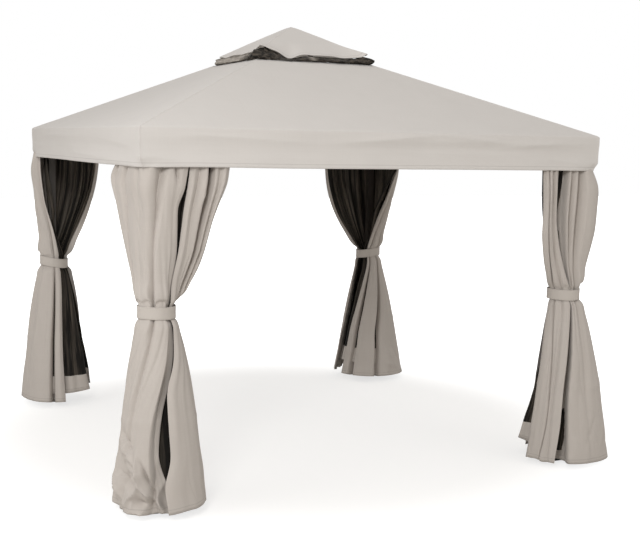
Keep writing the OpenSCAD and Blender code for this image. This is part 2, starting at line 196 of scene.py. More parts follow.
def make_stitch_group():
    """Stitched line at a distance from a sewn edge, read from the sheet's edge attribute."""
    group, start, end = node_group("sewn_edge", {"Colour": (0.5, 0.5, 0.5, 1), "Line at": 0.025, "Depth": 0.3})
    away = math_node(group, "ABSOLUTE", math_node(group, "SUBTRACT", edge_mark(group), start["Line at"]))
    near = math_node(group, "SUBTRACT", 1.0, math_node(group, "DIVIDE", away, STITCH_WIDE), clamp=True)
    near = math_node(group, "MULTIPLY", near, start["Depth"])
    colour = blend_colours(group, near, start["Colour"], STITCH_SHADE)
    feed(group, end, {"Colour": colour, "Height": math_node(group, "SUBTRACT", 1.0, near)})
    return group


WEAVE = make_weave_group()
SEWN = make_stitch_group()


def new_material(name):
    mat = bpy.data.materials.new(name)
    mat.use_nodes = True
    return mat, mat.node_tree, mat.node_tree.nodes["Principled BSDF"]


def cloth_material(name, colour, dark, threads, mottle, line_at, line_depth):
    """Woven cloth with a stitched line along its sewn edges."""
    mat, tree, shader = new_material(name)
    weave = add_node(tree, "Group", {
        "Colour": (*colour, 1), "Dark Thread": (*dark, 1), "Threads per Metre": threads, "Mottle": mottle,
    }, node_tree=WEAVE).outputs
    sewn = add_node(tree, "Group", {
        "Colour": weave["Colour"], "Line at": line_at, "Depth": line_depth,
    }, node_tree=SEWN).outputs
    height = math_node(tree, "ADD", math_node(tree, "MULTIPLY", weave["Height"], 0.25), sewn["Height"])
    feed(tree, shader, {
        "Base Color": sewn["Colour"], "Normal": relief(tree, height, 0.25, 0.0015), "Roughness": 0.88,
        "Sheen Weight": 0.12, "Sheen Roughness": 0.5, "Specular IOR Level": 0.2,
    })
    return mat


def net_material(name, colour, light, thin, thick, streaks, painted_backlight=None):
    """Fine dark mesh, see-through where one layer hangs and closed where folds lie over each other; one layer is also
    given a lighter colour, painted light seen through it.

    A pale colour, painted backlight, goes where the sheet's edge attribute marks a single layer with the light behind
    it.
    """
    mat, tree, shader = new_material(name)
    noise = stretched_noise(tree, streaks, 4.0, 0.6)
    folds = add_node(tree, "MapRange", {"Value": noise, "From Min": 0.44, "From Max": 0.76}).outputs[0]
    cover = add_node(tree, "MapRange", {"Value": folds, "To Min": thick, "To Max": thin}).outputs[0]
    # Lighter colour where one layer hangs: painted light seen through the netting, along with its thinner cover
    shade = blend_colours(tree, folds, (*colour, 1), (*light, 1))
    # Painted backlight: a pale colour on single layers where the edge attribute marks them
    if painted_backlight:
        clear = math_node(tree, "SUBTRACT", 1.25, math_node(tree, "MULTIPLY", noise, 1.1), clamp=True)
        shade = blend_colours(tree, math_node(tree, "MULTIPLY", edge_mark(tree), clear), shade, (*painted_backlight, 1))
    feed(tree, shader, {"Base Color": shade, "Alpha": cover, "Roughness": 0.75, "Specular IOR Level": 0.2})
    return mat


def steel_material(name, colour, metallic):
    """Coated steel with a fine orange-peel surface and slightly lighter scuffs."""
    mat, tree, shader = new_material(name)
    place = add_node(tree, "TexCoord").outputs["Object"]
    scuff = noise_node(tree, place, 14.0, 6.0)
    scuffed = [c * 1.8 for c in colour]
    feed(tree, shader, {
        "Base Color": blend_colours(tree, math_node(tree, "MULTIPLY", scuff, 0.5), (*colour, 1), (*scuffed, 1)),
        "Roughness": math_node(tree, "MULTIPLY_ADD", scuff, 0.25, 0.36), "Metallic": metallic,
        "Normal": relief(tree, noise_node(tree, place, 900.0), 0.12, 0.0006),
    })
    return mat


# Colours with threads per metre, mottling, and the stitched line's distance and depth
CANOPY_CLOTH = cloth_material(
    "canopy_cloth", (0.648, 0.617, 0.588), (0.55, 0.522, 0.495), 900.0, 0.35, 0.022, 0.25,
)
CURTAIN_CLOTH = cloth_material(
    "curtain_cloth", (0.518, 0.475, 0.437), (0.43, 0.390, 0.353), 800.0, 0.4, 0.028, 0.3,
)
TIE_CLOTH = cloth_material("tie_cloth", (0.530, 0.486, 0.445), (0.45, 0.41, 0.37), 800.0, 0.35, 0.006, 0.15)
# Dark colour and the lighter one of single layers, which is painted light seen through them, with the cover of one
# layer and of folds, and the folds' streaks along and up the net
NETTING = net_material(
    "black_netting", (0.007, 0.0058, 0.0046), (0.155, 0.130, 0.104), 0.90, 0.98, (34.0, 1.2, 1.0),
)
# The vent's netting also takes a pale colour on single layers: painted backlight
RUFFLE_NET = net_material(
    "vent_netting", (0.012, 0.010, 0.008), (0.15, 0.125, 0.100), 0.75, 0.97, (26.0, 60.0, 1.0),
    painted_backlight=(0.50, 0.455, 0.405),
)
STEEL = steel_material("powder_coated_steel", (0.030, 0.025, 0.021), 0.0)
ZINC = steel_material("zinc_plated_steel", (0.36, 0.35, 0.33), 1.0)


# Sheets


def link_object(name, data):
    obj = bpy.data.objects.new(name, data)
    bpy.context.scene.collection.objects.link(obj)
    return obj


def sheet_object(name, points, uv, edge, materials, thickness, ring=False, flip=False, band=None):
    """Mesh sheet from a grid of points, with a cloth UV map in metres, an edge attribute and a real thickness.

    points is [columns, rows, 3]; uv and edge have one value to each point. A ring closes on its first column, and
    band gives the number of each face's material.
    """
    nu, nv = points.shape[:2]
    mesh = bpy.data.meshes.new(name)
    cols = nu if ring else nu - 1
    i = np.repeat(np.arange(cols), nv - 1)
    j = np.tile(np.arange(nv - 1), cols)
    k = (i + 1) % nu
    quads = np.stack([i * nv + j, k * nv + j, k * nv + j + 1, i * nv + j + 1], 1)
    if flip:
        quads = quads[:, ::-1]
    mesh.from_pydata(points.reshape(-1, 3).tolist(), [], quads.tolist())
    corners = quads.reshape(-1)
    flat_uv = uv.reshape(-1, 2)[corners].copy()
    if ring:
        # The last strip runs on past the end of the map rather than back to its start
        span = uv[-1, 0, 0] + (uv[-1, 0, 0] - uv[-2, 0, 0])
        flat_uv[np.repeat(i == nu - 1, 4) & (corners < nv), 0] += span - uv[0, 0, 0]
    layer = mesh.uv_layers.new(name="cloth")
    layer.data.foreach_set("uv", flat_uv.astype(np.float32).reshape(-1))
    attribute = mesh.attributes.new("edge", "FLOAT", "POINT")
    attribute.data.foreach_set("value", edge.reshape(-1).astype(np.float32))
    for mat in materials:
        mesh.materials.append(mat)
    if band is not None:
        mesh.polygons.foreach_set("material_index", band[i, j].astype(np.int32))
    mesh.polygons.foreach_set("use_smooth", np.ones(len(quads), bool))
    mesh.update()
    obj = link_object(name, mesh)
    wall = obj.modifiers.new("cloth thickness", "SOLIDIFY")
    wall.thickness = thickness
    wall.offset = -1.0
    return obj


def finish_piece(obj, slot_name, *nodes):
    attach(obj, "root")
    if nodes:
        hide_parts(*nodes)
    return obj


# Distances from a hip seam at which the roofs have columns of points, and the columns between them on a side
CANOPY_COLUMNS, CAP_COLUMNS = 76, 30
SEAM_STEPS = np.array([0.0, 0.0022, 0.0045, 0.0075, 0.012, 0.020, 0.036, 0.065, 0.11])


def side_columns(r, middle):
    """Places across one side at distance r from the middle, from one hip to just before the next."""
    inner = max(r - SEAM_STEPS[-1], 0.15 * r)
    steps = SEAM_STEPS * min(1.0, (r - inner) / SEAM_STEPS[-1])
    return np.concatenate([-r + steps[:-1], np.linspace(-inner, inner, middle), (r - steps[:-1])[::-1]])[:-1]


def turn(points, side):
    """Turns points made for the front to another side."""
    a = math.radians(90 * side)
    c, s = math.cos(a), math.sin(a)
    out = points.copy()
    out[..., 0] = c * points[..., 0] - s * points[..., 1]
    out[..., 1] = s * points[..., 0] + c * points[..., 1]
    return out


def side_map(points, pitch, hem_row):
    """Cloth map in metres of a sheet of four sides, set out at a pitch, and the distances from its hem's row."""
    n = points.shape[0] // 4
    run = np.concatenate([[0], np.cumsum(np.linalg.norm(np.diff(points[n // 2], axis=0), axis=-1))])
    flat_x = np.concatenate([turn(points[s * n:(s + 1) * n], -s)[..., 0] + pitch * s for s in range(4)], 0)
    uv = np.stack([flat_x, np.broadcast_to(run, flat_x.shape)], -1)
    return uv, np.broadcast_to(np.abs(run[hem_row] - run), flat_x.shape)


# Steps of the canopy's hem turned up inside, inward and up, and of the cap's edge turned under, inward and down
HEM_STEPS = ((0.0022, -0.0012), (0.0042, 0.004), (0.0046, 0.020))
CAP_STEPS = ((0.0006, 0.004), (0.004, 0.0055), (0.016, -0.004))
# Rows of the roof and of the valance, and those just before the eave: distances from it and how far they round down
ROOF_ROWS, ROOF_END, FALL_ROWS = 44, 0.012, 24
EAVE_ROWS = ((0.0065, 0.0007), (0.0025, 0.0022))
# How far the roof cloth sags, ripples and is pulled, and the height, width and groove of the welts on its hips
ROOF_SAG, ROOF_RIPPLE, ROOF_PULL = 0.010, 0.0020, 0.0016
WELT_TALL, WELT_WIDE, WELT_GROOVE = 0.0022, 0.0040, 0.0009
# How far the valance hollows, kicks out, waves, puckers and rolls, is tucked in at the corners and steps at its hem
FALL_HOLLOW, FALL_KICK, FALL_WAVE, FALL_PUCKER, FALL_ROLL = 0.0065, 0.0045, 0.0060, 0.0022, 0.0030
FALL_WELT, CORNER_TUCK, HEM_STEP, HEM_SWAY = 0.0018, 0.020, 0.0012, 0.004
# Soft pulls in the valance of a side, from a place and height to another in metres, with depth and width in mm
VALANCE_PULLS = {
    0: (
        (-0.30, EAVE - 0.070, 0.336, EAVE - 0.012, 11, 24), (0.336, EAVE - 0.012, 0.78, EAVE - 0.055, 11, 24),
        (0.72, EAVE - 0.085, 1.20, EAVE - 0.050, 9, 20), (1.12, EAVE - 0.140, 1.46, EAVE - 0.195, 9, 18),
        (-1.48, EAVE - 0.150, -1.20, EAVE - 0.200, 7, 16), (-1.20, EAVE - 0.040, -0.55, EAVE - 0.075, 6, 22),
    ),
    3: ((-0.15, HEM + 0.060, 1.40, HEM + 0.014, 9, 20), (0.55, EAVE - 0.060, 1.35, EAVE - 0.110, 5, 22)),
}


def make_canopy():
    """Main roof cloth with its valance, one continuous sheet with a welt on every hip and corner."""
    roof = [(r, 0.0) for r in VENT + (HALF - ROOF_END - VENT) * np.linspace(0, 1, ROOF_ROWS)]
    roof += [(HALF - before, drop) for before, drop in EAVE_ROWS]
    fall_z = EAVE - VALANCE * np.concatenate([[0.022, 0.05], np.linspace(0.085, 1.0, FALL_ROWS)])
    columns = []
    for side in range(4):
        rows = []
        for r, drop in roof:
            x = side_columns(r, CANOPY_COLUMNS)
            away = r - np.abs(x)
            t = x / r
            down = (r - VENT) / (HALF - VENT)
            span = np.sin(math.pi * np.clip(down, 0, 1)) ** 0.8 * np.cos(0.5 * math.pi * t) ** 0.7
            sag = ROOF_SAG * span
            ripple = ROOF_RIPPLE * soft_noise(x * 2.2 + 7 * side, r * 5.0, 11) * span
            # Fine creases that run up from the eave
            pull = ROOF_PULL * smooth(0.72, 1.0, down) * soft_noise(x * 7.0 + 5 * side, r * 1.5, 12)
            welt = WELT_TALL * bump(away, WELT_WIDE) - WELT_GROOVE * bump(away - 0.010, WELT_WIDE)
            z = roof_z(r) - sag + ripple + pull + welt - drop
            rows.append(np.stack([x, np.full_like(x, -r), z], -1))
        x = side_columns(HALF, CANOPY_COLUMNS)
        away = HALF - np.abs(x)
        for z in fall_z:
            s = (EAVE - z) / VALANCE
            hang = 1.0 - bump(away, 0.16)
            out = -FALL_HOLLOW * smooth(0.22, 0.5, s) + FALL_KICK * smooth(0.62, 1.0, s)
            out = out * (0.45 + 0.55 * hang) * (0.8 + 0.5 * soft_noise(x * 1.1 + 9 * side, 0.4, 13))
            wave = FALL_WAVE * s * soft_noise(x * 2.6 + 3 * side, s * 0.9 + side, 14)
            wave += FALL_PUCKER * soft_noise(x * 5.0 + 8 * side, s * 2.6, 15) * smooth(0.15, 0.4, s)
            roll = FALL_ROLL * soft_noise(x * 1.6 + 2 * side, s * 5.0, 16)
            roll = roll * smooth(0.05, 0.3, s) * (1 - smooth(0.6, 0.9, s))
            welt = FALL_WELT * bump(away, WELT_WIDE)
            tuck = CORNER_TUCK * smooth(0.74, 1.0, s) * bump(away, 0.085)
            hem = HEM_STEP * smooth(0.885, 0.895, s)
            pull = set_creases(x, z, VALANCE_PULLS.get(side, ())) * (1 - bump(away, 0.03))
            y = -(HALF + out + (wave + roll) * hang + pull + welt + hem - tuck)
            shift = np.sign(x) * (out * (1 - hang) + welt - tuck * bump(away, 0.05))
            sway = HEM_SWAY * hang * soft_noise(x * 1.7 + side, 2.0, 17) * s
            rows.append(np.stack([x + shift, y, z + sway], -1))
        low = rows[-1]
        for inward, up in HEM_STEPS:
            turned = low.copy()
            turned[:, 1] += inward
            turned[:, 0] -= np.sign(low[:, 0]) * inward * (away < 0.004)
            turned[:, 2] += up
            rows.append(turned)
        columns.append(turn(np.stack(rows, 1), side))
    points = np.concatenate(columns, 0)
    # Meet exactly at the hips: each side's first column also closes the side before it
    n = points.shape[0] // 4
    for side in range(4):
        first = turn(points[side * n], -side)
        first[:, 0] = 0.5 * (first[:, 0] + first[:, 1])
        first[:, 1] = first[:, 0]
        points[side * n] = turn(first, side)
    uv, edge = side_map(points, 3.0, len(roof) + len(fall_z) - 1)
    return sheet_object("canopy", points, uv, edge, [CANOPY_CLOTH], CANOPY_THICK, ring=True, flip=True)


# How far the cap's near and right corners are turned up, and the share by which the right one stands out
NEAR_LIFT, RIGHT_LIFT, RIGHT_REACH = 0.030, 0.007, 0.036
# How far its edge droops along the front, most at a lap in it, on the left, and on the other two sides
FRONT_DROOP, LAP_DROOP, LEFT_DROOP, BACK_DROOP = 0.017, 0.029, 0.006, 0.008
# How far the cap sags, the height of its welts, and the depths of its edge's broad and tight waves
CAP_SAG, CAP_WELT, CAP_WAVE, CAP_RIPPLE = 0.006, 0.0020, 0.005, 0.003


def edge_lift(side, x):
    """How far the near corner of the cap is turned up, and its right one a little, at places along a side."""
    near = NEAR_LIFT * ((side == 0) * bump(x + CAP, 0.085) + (side == 3) * bump(x - CAP, 0.075))
    return near + RIGHT_LIFT * ((side == 0) * bump(x - CAP, 0.050) + (side == 1) * bump(x + CAP, 0.050))


def edge_droop(side, x):
    """How far the cap's free edge hangs below a straight line: most on the front, beside the near corner."""
    front = FRONT_DROOP * smooth(-0.30, -0.19, x) * (1 - smooth(0.345, 0.384, x)) + LAP_DROOP * bump(x + 0.165, 0.055)
    left = LEFT_DROOP * smooth(-0.36, -0.28, x) * (1 - smooth(0.05, 0.22, x))
    return (side == 0) * front + (side == 3) * left + (0 < side) * (side < 3) * BACK_DROOP * (1 - (x / CAP) ** 4)


def edge_reach(side, x):
    """Share by which the right corner of the cap stands out."""
    return RIGHT_REACH * ((side == 0) * bump(x - CAP, 0.070) + (side == 1) * bump(x + CAP, 0.070))


def make_cap():
    """Small upper roof with a soft apex and a slightly wavy edge."""
    rows_r = np.concatenate([[0.0012, 0.008, 0.018, 0.032], np.linspace(0.05, CAP - 0.004, 26), [CAP - 0.001]])
    columns = []
    for side in range(4):
        rows = []
        for r in rows_r:
            x = side_columns(r, CAP_COLUMNS)
            away = r - np.abs(x)
            t = x / r
            down = r / CAP
            sag = CAP_SAG * np.sin(math.pi * down) * np.cos(0.5 * math.pi * t) ** 0.7
            welt = CAP_WELT * bump(away, WELT_WIDE) * smooth(0.05, 0.15, r)
            free = smooth(0.62, 1.0, down)
            wave = CAP_WAVE * soft_noise(x * 9.0 + 6 * side, 0.3, 21)
            wave += CAP_RIPPLE * soft_noise(x * 19.0 + 3 * side, 0.7, 22)
            corner = free * (free * edge_lift(side, t * CAP) - edge_droop(side, t * CAP))
            soft_top = 0.0015 - 0.0055 * bump(r, 0.022)
            z = cap_z(r) + soft_top - sag + welt + free * wave + corner
            reach = 1 + free * edge_reach(side, t * CAP)
            rows.append(np.stack([x * reach, -r * reach, z], -1))
        low = rows[-1]
        for inward, drop in CAP_STEPS:
            under = low.copy()
            under[:, :2] *= (CAP - inward) / CAP
            under[:, 2] -= drop
            rows.append(under)
        columns.append(turn(np.stack(rows, 1), side))
    points = np.concatenate(columns, 0)
    points[:, 0] = points[:, 0].mean(0)
    uv, edge = side_map(points, 0.8, len(rows_r) - 1)
    cap = sheet_object("vent_cap_cloth", points, uv, edge, [CANOPY_CLOTH], CANOPY_THICK, ring=True, flip=True)
    bpy.context.view_layer.objects.active = cap
    deselect()
    cap.select_set(True)
    bpy.ops.object.mode_set(mode="EDIT")
    bpy.ops.mesh.select_all(action="SELECT")
    bpy.ops.mesh.remove_doubles(threshold=0.00005)
    bpy.ops.object.mode_set(mode="OBJECT")
    return cap


# The vent's netting: its length to a side, the distance of its foot from the middle, and its height
RUFFLE_SIDE, RUFFLE_FOOT, RUFFLE_TALL = 0.84, 0.4165, 0.052
# Depths of its folds and lumps, and how often they come to a metre with their shares
RUFFLE_FOLD, RUFFLE_LUMP = 0.012, 0.010
RUFFLE_BANDS = ((11.0, 0.9), (19.0, 0.8), (37.0, 0.5), (70.0, 0.25))


def make_ruffle():
    """Gathered netting that fills the gap between the two roofs: dark at the front, with one layer on the left
    painted pale as if lit from behind.
    """
    around = 720
    w = np.arange(around) / around * 4.0
    side = np.floor(w).astype(int)
    t = (w - side) * 2.0 - 1.0
    lift, droop = edge_lift(side, t * CAP)[:, None], edge_droop(side, t * CAP)[:, None]
    length = (w * RUFFLE_SIDE)[:, None]
    q = np.linspace(0, 1, 22)[None, :]
    spots = np.linspace(0, 1, 8)
    low = roof_z(RUFFLE_FOOT) + 0.0035
    rr = np.interp(q, spots, [RUFFLE_FOOT, 0.428, 0.436, 0.432, 0.418, 0.401, 0.384, 0.366])
    rise = np.interp(q, spots, [0.0, 0.004, 0.012, 0.021, 0.031, 0.040, 0.047, RUFFLE_TALL])
    loose = np.sin(math.pi * q) ** 0.7
    open_share = np.clip((RUFFLE_TALL - droop + 0.8 * lift) / RUFFLE_TALL, 0.12, 1.7)
    folds, lumps = 0.0, 0.0
    for k, (freq, amount) in enumerate(RUFFLE_BANDS):
        folds = folds + amount * soft_noise(length * freq + 3.0 * k, q * (1.6 + 1.1 * k) + k, 31 + k)
        lumps = lumps + amount * soft_noise(length * freq * 0.9 + 11.0 + k, q * (1.2 + k), 41 + k)
    # Bunched ends stand out past the cap at the right corner and stand up at the left one
    right_end, left_end = bump(length - RUFFLE_SIDE, 0.045), bump(length - 3 * RUFFLE_SIDE, 0.055)
    near = np.minimum(length, 4 * RUFFLE_SIDE - length)
    blunt = 0.010 * right_end * smooth(0.15, 0.5, q)
    r = rr + loose * (RUFFLE_FOLD * folds * np.clip(open_share, 0.4, 1.2) + 0.006 * bump(near, 0.10) + blunt)
    z = low + rise * open_share + loose * (RUFFLE_LUMP * lumps * np.clip(open_share, 0.3, 1.3) - 0.004)
    r = mix(r, 0.412 - 0.030 * smooth(0.75, 1.0, q) + 0.005 * folds * loose, left_end)
    z = mix(z, low + RUFFLE_TALL * q + 0.003 * lumps * loose, left_end)
    # Keep it inside the cap's edge where it stands higher, over the roof and under the cap
    r = np.where(z > CAP_EDGE - 0.010 + lift - droop, np.minimum(r, CAP - 0.010 + 0.05 * (right_end + left_end)), r)
    z = np.maximum(z, roof_z(r) + 0.003)
    z = np.where(r < CAP, np.minimum(z, np.maximum(cap_z(r) - 0.009 + lift - droop, low + 0.002)), z)
    x = t[:, None] * r * (1.0 - 0.05 * np.abs(t[:, None]) ** 6 * (1 - 0.5 * right_end))
    points = np.stack([x, -r, z], -1)
    for k in range(4):
        points[side == k] = turn(points[side == k], k)
    uv = np.stack(np.broadcast_arrays(length, q * 0.11), -1)
    # One layer on the left, and at a small lap on the front, is painted pale: painted light shining through it
    painted_backlight = (side == 3) * (1 - smooth(0.30, 0.72, t)) + (side == 0) * 0.7 * bump(t * CAP + 0.02, 0.022)
    painted_backlight = painted_backlight[:, None] * (1 - 0.75 * bump(q - 0.10, 0.10))
    # Dark folds without the painted backlight lie between the pale ones at the left end
    painted_backlight = painted_backlight * (1 - 0.9 * left_end * smooth(0.0, 0.3, soft_noise(length * 55.0, q * 4.0 + 0.5, 47)))
    # The sheet's edge attribute carries the share of painted backlight
    return sheet_object("vent_ruffle", points, uv, painted_backlight, [RUFFLE_NET], RUFFLE_THICK, ring=True)


# Gathered curtains. Every bundle is laid out for the corner at +X +Y and mirrored to its own corner. A half has its
# start and end along the rail from the corner's middle (negative on the side face) and its angles round the bundle
# at the tie and at heights of the skirt. "draw" tells how each of its two edges draws in from the rail to the tie:
# as a power of the drop, or as heights with their share of the way. "net" tells how far the net goes past the two
# edges of the cloth at the rail, at the tie and at the hem, as shares of a half.
BUNDLES = {
    "front_left": {
        "hem": 0.045, "skirt": 0.238, "shift": 0.024, "spread": 0.62, "slope": 0.0, "rise": 0.016,
        "net": {"start": (0.04, 0.40, 0.10), "end": (-0.12, 0.15, 0.10), "wide": 0.0, "lift": 0.0, "deep": 1.25},
        "side": {
            "rail": (-0.580, 0.232),
            "draw": (
                [(1.937, 0.12), (1.905, 0.10), (1.868, -0.04), (1.835, -0.10), (1.79, -0.04), (1.737, 0.08),
                 (1.65, 0.20), (1.55, 0.327), (1.45, 0.47), (1.35, 0.625), (1.25, 0.785)],
                [(1.937, 0.0), (1.876, 0.08), (1.772, 0.22), (1.690, 0.60), (1.445, 0.70), (1.265, 0.86)],
            ),
            "tie": (-42, 132),
            "skirt": (
                (0.945, -70, 121), (0.84, -92, 113), (0.71, -112, 96), (0.60, -115, 82),
                (0.49, -115, 75), (0.335, -115, 71), (0.21, -115, 85), (0.04, -115, 99),
            ),
        },
        "face": {
            "rail": (0.240, 0.475),
            "draw": (
                [(1.937, 0.0), (1.860, 0.02), (1.766, 0.12), (1.684, 0.24), (1.434, 0.50), (1.265, 0.84)],
                [(1.937, 0.0), (1.820, 0.04), (1.766, 0.10), (1.700, 0.18), (1.600, 0.29), (1.420, 0.42),
                 (1.340, 0.50), (1.265, 0.61), (1.200, 0.77)],
            ),
            "tie": (126, 206),
            "skirt": (
                (0.945, 113, 200), (0.84, 105, 197), (0.71, 84, 195), (0.49, 86, 195),
                (0.335, 89, 195), (0.21, 78, 195), (0.04, 86, 195),
            ),
        },
    },
    "front_right": {
        "hem": 0.030, "skirt": 0.270, "shift": 0.041, "spread": 0.72, "slope": 0.0, "rise": 0.0,
        "net": {"start": (0.0, 0.05, 0.02), "end": (-0.72, -0.05, 0.86), "wide": 0.128, "lift": 0.072, "deep": 1.75},
        "side": {
            "rail": (-0.450, 0.212),
            "draw": (1.7, [(1.937, 0.0), (1.710, 0.0), (1.580, 0.02), (1.400, 0.30), (1.187, 0.82)]),
            "tie": (-115, 110),
            "skirt": (
                (0.835, -115, 122), (0.741, -115, 125), (0.534, -115, 134), (0.269, -115, 140), (0.03, -115, 148),
            ),
        },
        "face": {
            "rail": (0.252, 0.356),
            "draw": (
                [(1.937, 0.0), (1.580, 0.05), (1.400, 0.32), (1.187, 0.86)],
                [(1.937, 0.0), (1.490, 0.02), (1.310, 0.38), (1.187, 0.78)],
            ),
            "tie": (104, 196),
            "skirt": (
                (0.89, 116, 188), (0.741, 123, 179), (0.534, 129, 178), (0.269, 132, 180), (0.03, 137, 182),
            ),
        },
    },
    "back_left": {
        "hem": 0.041, "skirt": 0.250, "shift": 0.010, "spread": 0.60, "slope": -0.014, "rise": 0.0,
        "net": {"start": (0.05, 0.26, 0.26), "end": (-0.24, -0.06, 0.25), "wide": 0.100, "lift": 0.062, "deep": 1.0},
        "side": {
            "rail": (-0.105, 0.250),
            "draw": ([(1.937, 0.0), (1.800, 0.05), (1.550, 0.33), (1.350, 0.74), (1.250, 0.90)], 1.8),
            "tie": (-102, 88),
            "skirt": ((0.50, -94, 87), (0.05, -93, 86)),
        },
        "face": {
            "rail": (0.285, 0.470), "draw": (1.8, 1.75), "tie": (92, 202),
            "skirt": ((0.90, 92, 182), (0.50, 93, 162), (0.05, 94, 158)),
        },
    },
    "back_right": {
        "hem": 0.041, "skirt": 0.290, "shift": 0.025, "spread": 0.88, "slope": 0.012, "rise": 0.0,
        "net": {"start": (0.10, 0.14, 0.03), "end": (0.02, -0.05, 0.20), "wide": 0.045, "lift": 0.112, "deep": 1.0},
        "side": {
            "rail": (-0.500, 0.230), "draw": (0.85, 2.6), "lag": 0.5, "tie": (-122, 88),
            "skirt": ((0.87, -138, 87), (0.42, -164, 86), (0.05, -170, 86)),
        },
        "face": {
            "rail": (0.265, 0.475), "draw": (1.9, 2.4), "tie": (92, 172),
            "skirt": ((0.50, 94, 166), (0.05, 94, 163)),
        },
    },
}
# Direction in plan in which the skirts lean and the ties slope
ACROSS = (0.904, -0.428)
# Radius of the rail line's bend at a corner
RAIL_BEND = 0.060
# Heights under the valance, half way to the tie, on the skirt and low down
UNDER_Z, MIDDLE_Z, SKIRT_Z, LOW_Z = 1.80, 1.50, 0.62, 0.30
# Heights at which the net's edges are set, and how far inside the cloth it hangs at the rail and below
NET_HEIGHTS = [CLOTH_TOP, TIE_HIGH, TIE_LOW, CURTAIN_HEM]
INSIDE_HEIGHTS = [CLOTH_TOP, MIDDLE_Z, TIE_HIGH, TIE_LOW, SKIRT_Z, CURTAIN_HEM]
NET_INSIDE = [0.045, 0.046, 0.0225, 0.0225, 0.050, 0.062]


def rail_point(l):
    """Plan points of the rail line at lengths l past the corner's middle, with a rounded corner."""
    arc = RAIL_BEND * math.pi / 4
    k = RAIL - RAIL_BEND
    a = np.radians(45 + 45 * np.clip(l / arc, -1, 1))
    x = k + RAIL_BEND * np.cos(a) - np.maximum(l - arc, 0)
    y = k + RAIL_BEND * np.sin(a) + np.minimum(l + arc, 0)
    return np.stack([x, y], -1)


def eased(heights, values, z, blur=0.05):
    """Values set at falling heights, joined by a line with softened bends, at heights z."""
    dense = np.linspace(-0.3, 2.3, 521)
    line = np.interp(dense, np.array(heights)[::-1], np.array(values, float)[::-1])
    kernel = np.exp(-0.5 * (np.arange(-60, 61) * 0.005 / blur) ** 2)
    line = np.convolve(np.pad(line, 60, mode="edge"), kernel / kernel.sum(), mode="valid")
    return np.interp(z, dense, line)


def tie_lift(bundle, z):
    """How much higher than the others a bundle is tied, felt at heights z."""
    return bundle["rise"] * smooth(0.2, TIE_LOW, z) * (1 - smooth(TIE_HIGH, CLOTH_TOP, z))


def edge_share(draw, z):
    """Share of the way from the rail to the tie of one edge of a half, at heights z."""
    if isinstance(draw, float):
        return np.clip((CLOTH_TOP - z) / (CLOTH_TOP - TIE_HIGH), 0, 1) ** draw
    heights = [row[0] for row in draw] + [TIE_HIGH + 0.01]
    return eased(heights, [row[1] for row in draw] + [1.0], z, 0.022)


def half_base(u, z, corner, part):
    """Plan points of a gathered half without its folds, for arrays u and z of matching shapes."""
    bundle, sign = BUNDLES[corner], CORNERS[corner]
    half = bundle[part]
    z = z - tie_lift(bundle, z)
    lead, trail = (edge_share(draw, z) for draw in half["draw"])
    share = mix(lead, trail, np.clip(u, 0, 1) ** half.get("lag", 1.0))
    top = rail_point(mix(half["rail"][0], half["rail"][1], u) + 0 * z)
    heights = [TIE_HIGH, TIE_LOW] + [row[0] for row in half["skirt"]]
    first = eased(heights, [half["tie"][0]] * 2 + [row[1] for row in half["skirt"]], z, 0.04)
    last = eased(heights, [half["tie"][1]] * 2 + [row[2] for row in half["skirt"]], z, 0.04)
    phi = np.radians(mix(first, last, u))
    flare = np.clip((TIE_LOW - z) / (TIE_LOW - CURTAIN_HEM), 0, 1) ** bundle["spread"]
    r = mix(CLOTH_TIE_R, bundle["skirt"], flare)
    aside = bundle["shift"] * flare ** 0.6
    cx = BUNDLE + sign[0] * ACROSS[0] * aside
    cy = BUNDLE + sign[1] * ACROSS[1] * aside
    ring = np.stack([cx + r * np.cos(phi), cy + r * np.sin(phi)], -1)
    return mix(top, ring, share[..., None])


def net_base(w, z, corner):
    """Plan points along both halves of the cloth in one run, for the net that hangs inside them."""
    net = BUNDLES[corner]["net"]
    start = -eased(NET_HEIGHTS, [net["start"][k] for k in (0, 1, 1, 2)], z, 0.08)
    end = 2.0 + eased(NET_HEIGHTS, [net["end"][k] for k in (0, 1, 1, 2)], z, 0.08)
    s = mix(start, end, w)
    side = half_base(np.minimum(s, 0.92), z + 0 * w, corner, "side")
    face = half_base(np.maximum(s - 1, 0.08), z + 0 * w, corner, "face")
    return mix(side, face, smooth(0.84, 1.16, s)[..., None])


def net_inside(corner, z):
    """How far inside the cloth the net hangs at heights z; "deep" is its factor at the hem."""
    deep = mix(1.0, BUNDLES[corner]["net"]["deep"], smooth(-TIE_LOW, -SKIRT_Z, -z))
    return eased(INSIDE_HEIGHTS, NET_INSIDE, z, 0.06) * deep


# Heights at which the folds are set, and how keen their valleys are, from 0 to 1
FOLD_HEIGHTS = [CLOTH_TOP, UNDER_Z, MIDDLE_Z, TIE_HIGH, TIE_LOW, SKIRT_Z, LOW_Z, CURTAIN_HEM]
KEENNESS = 0.75


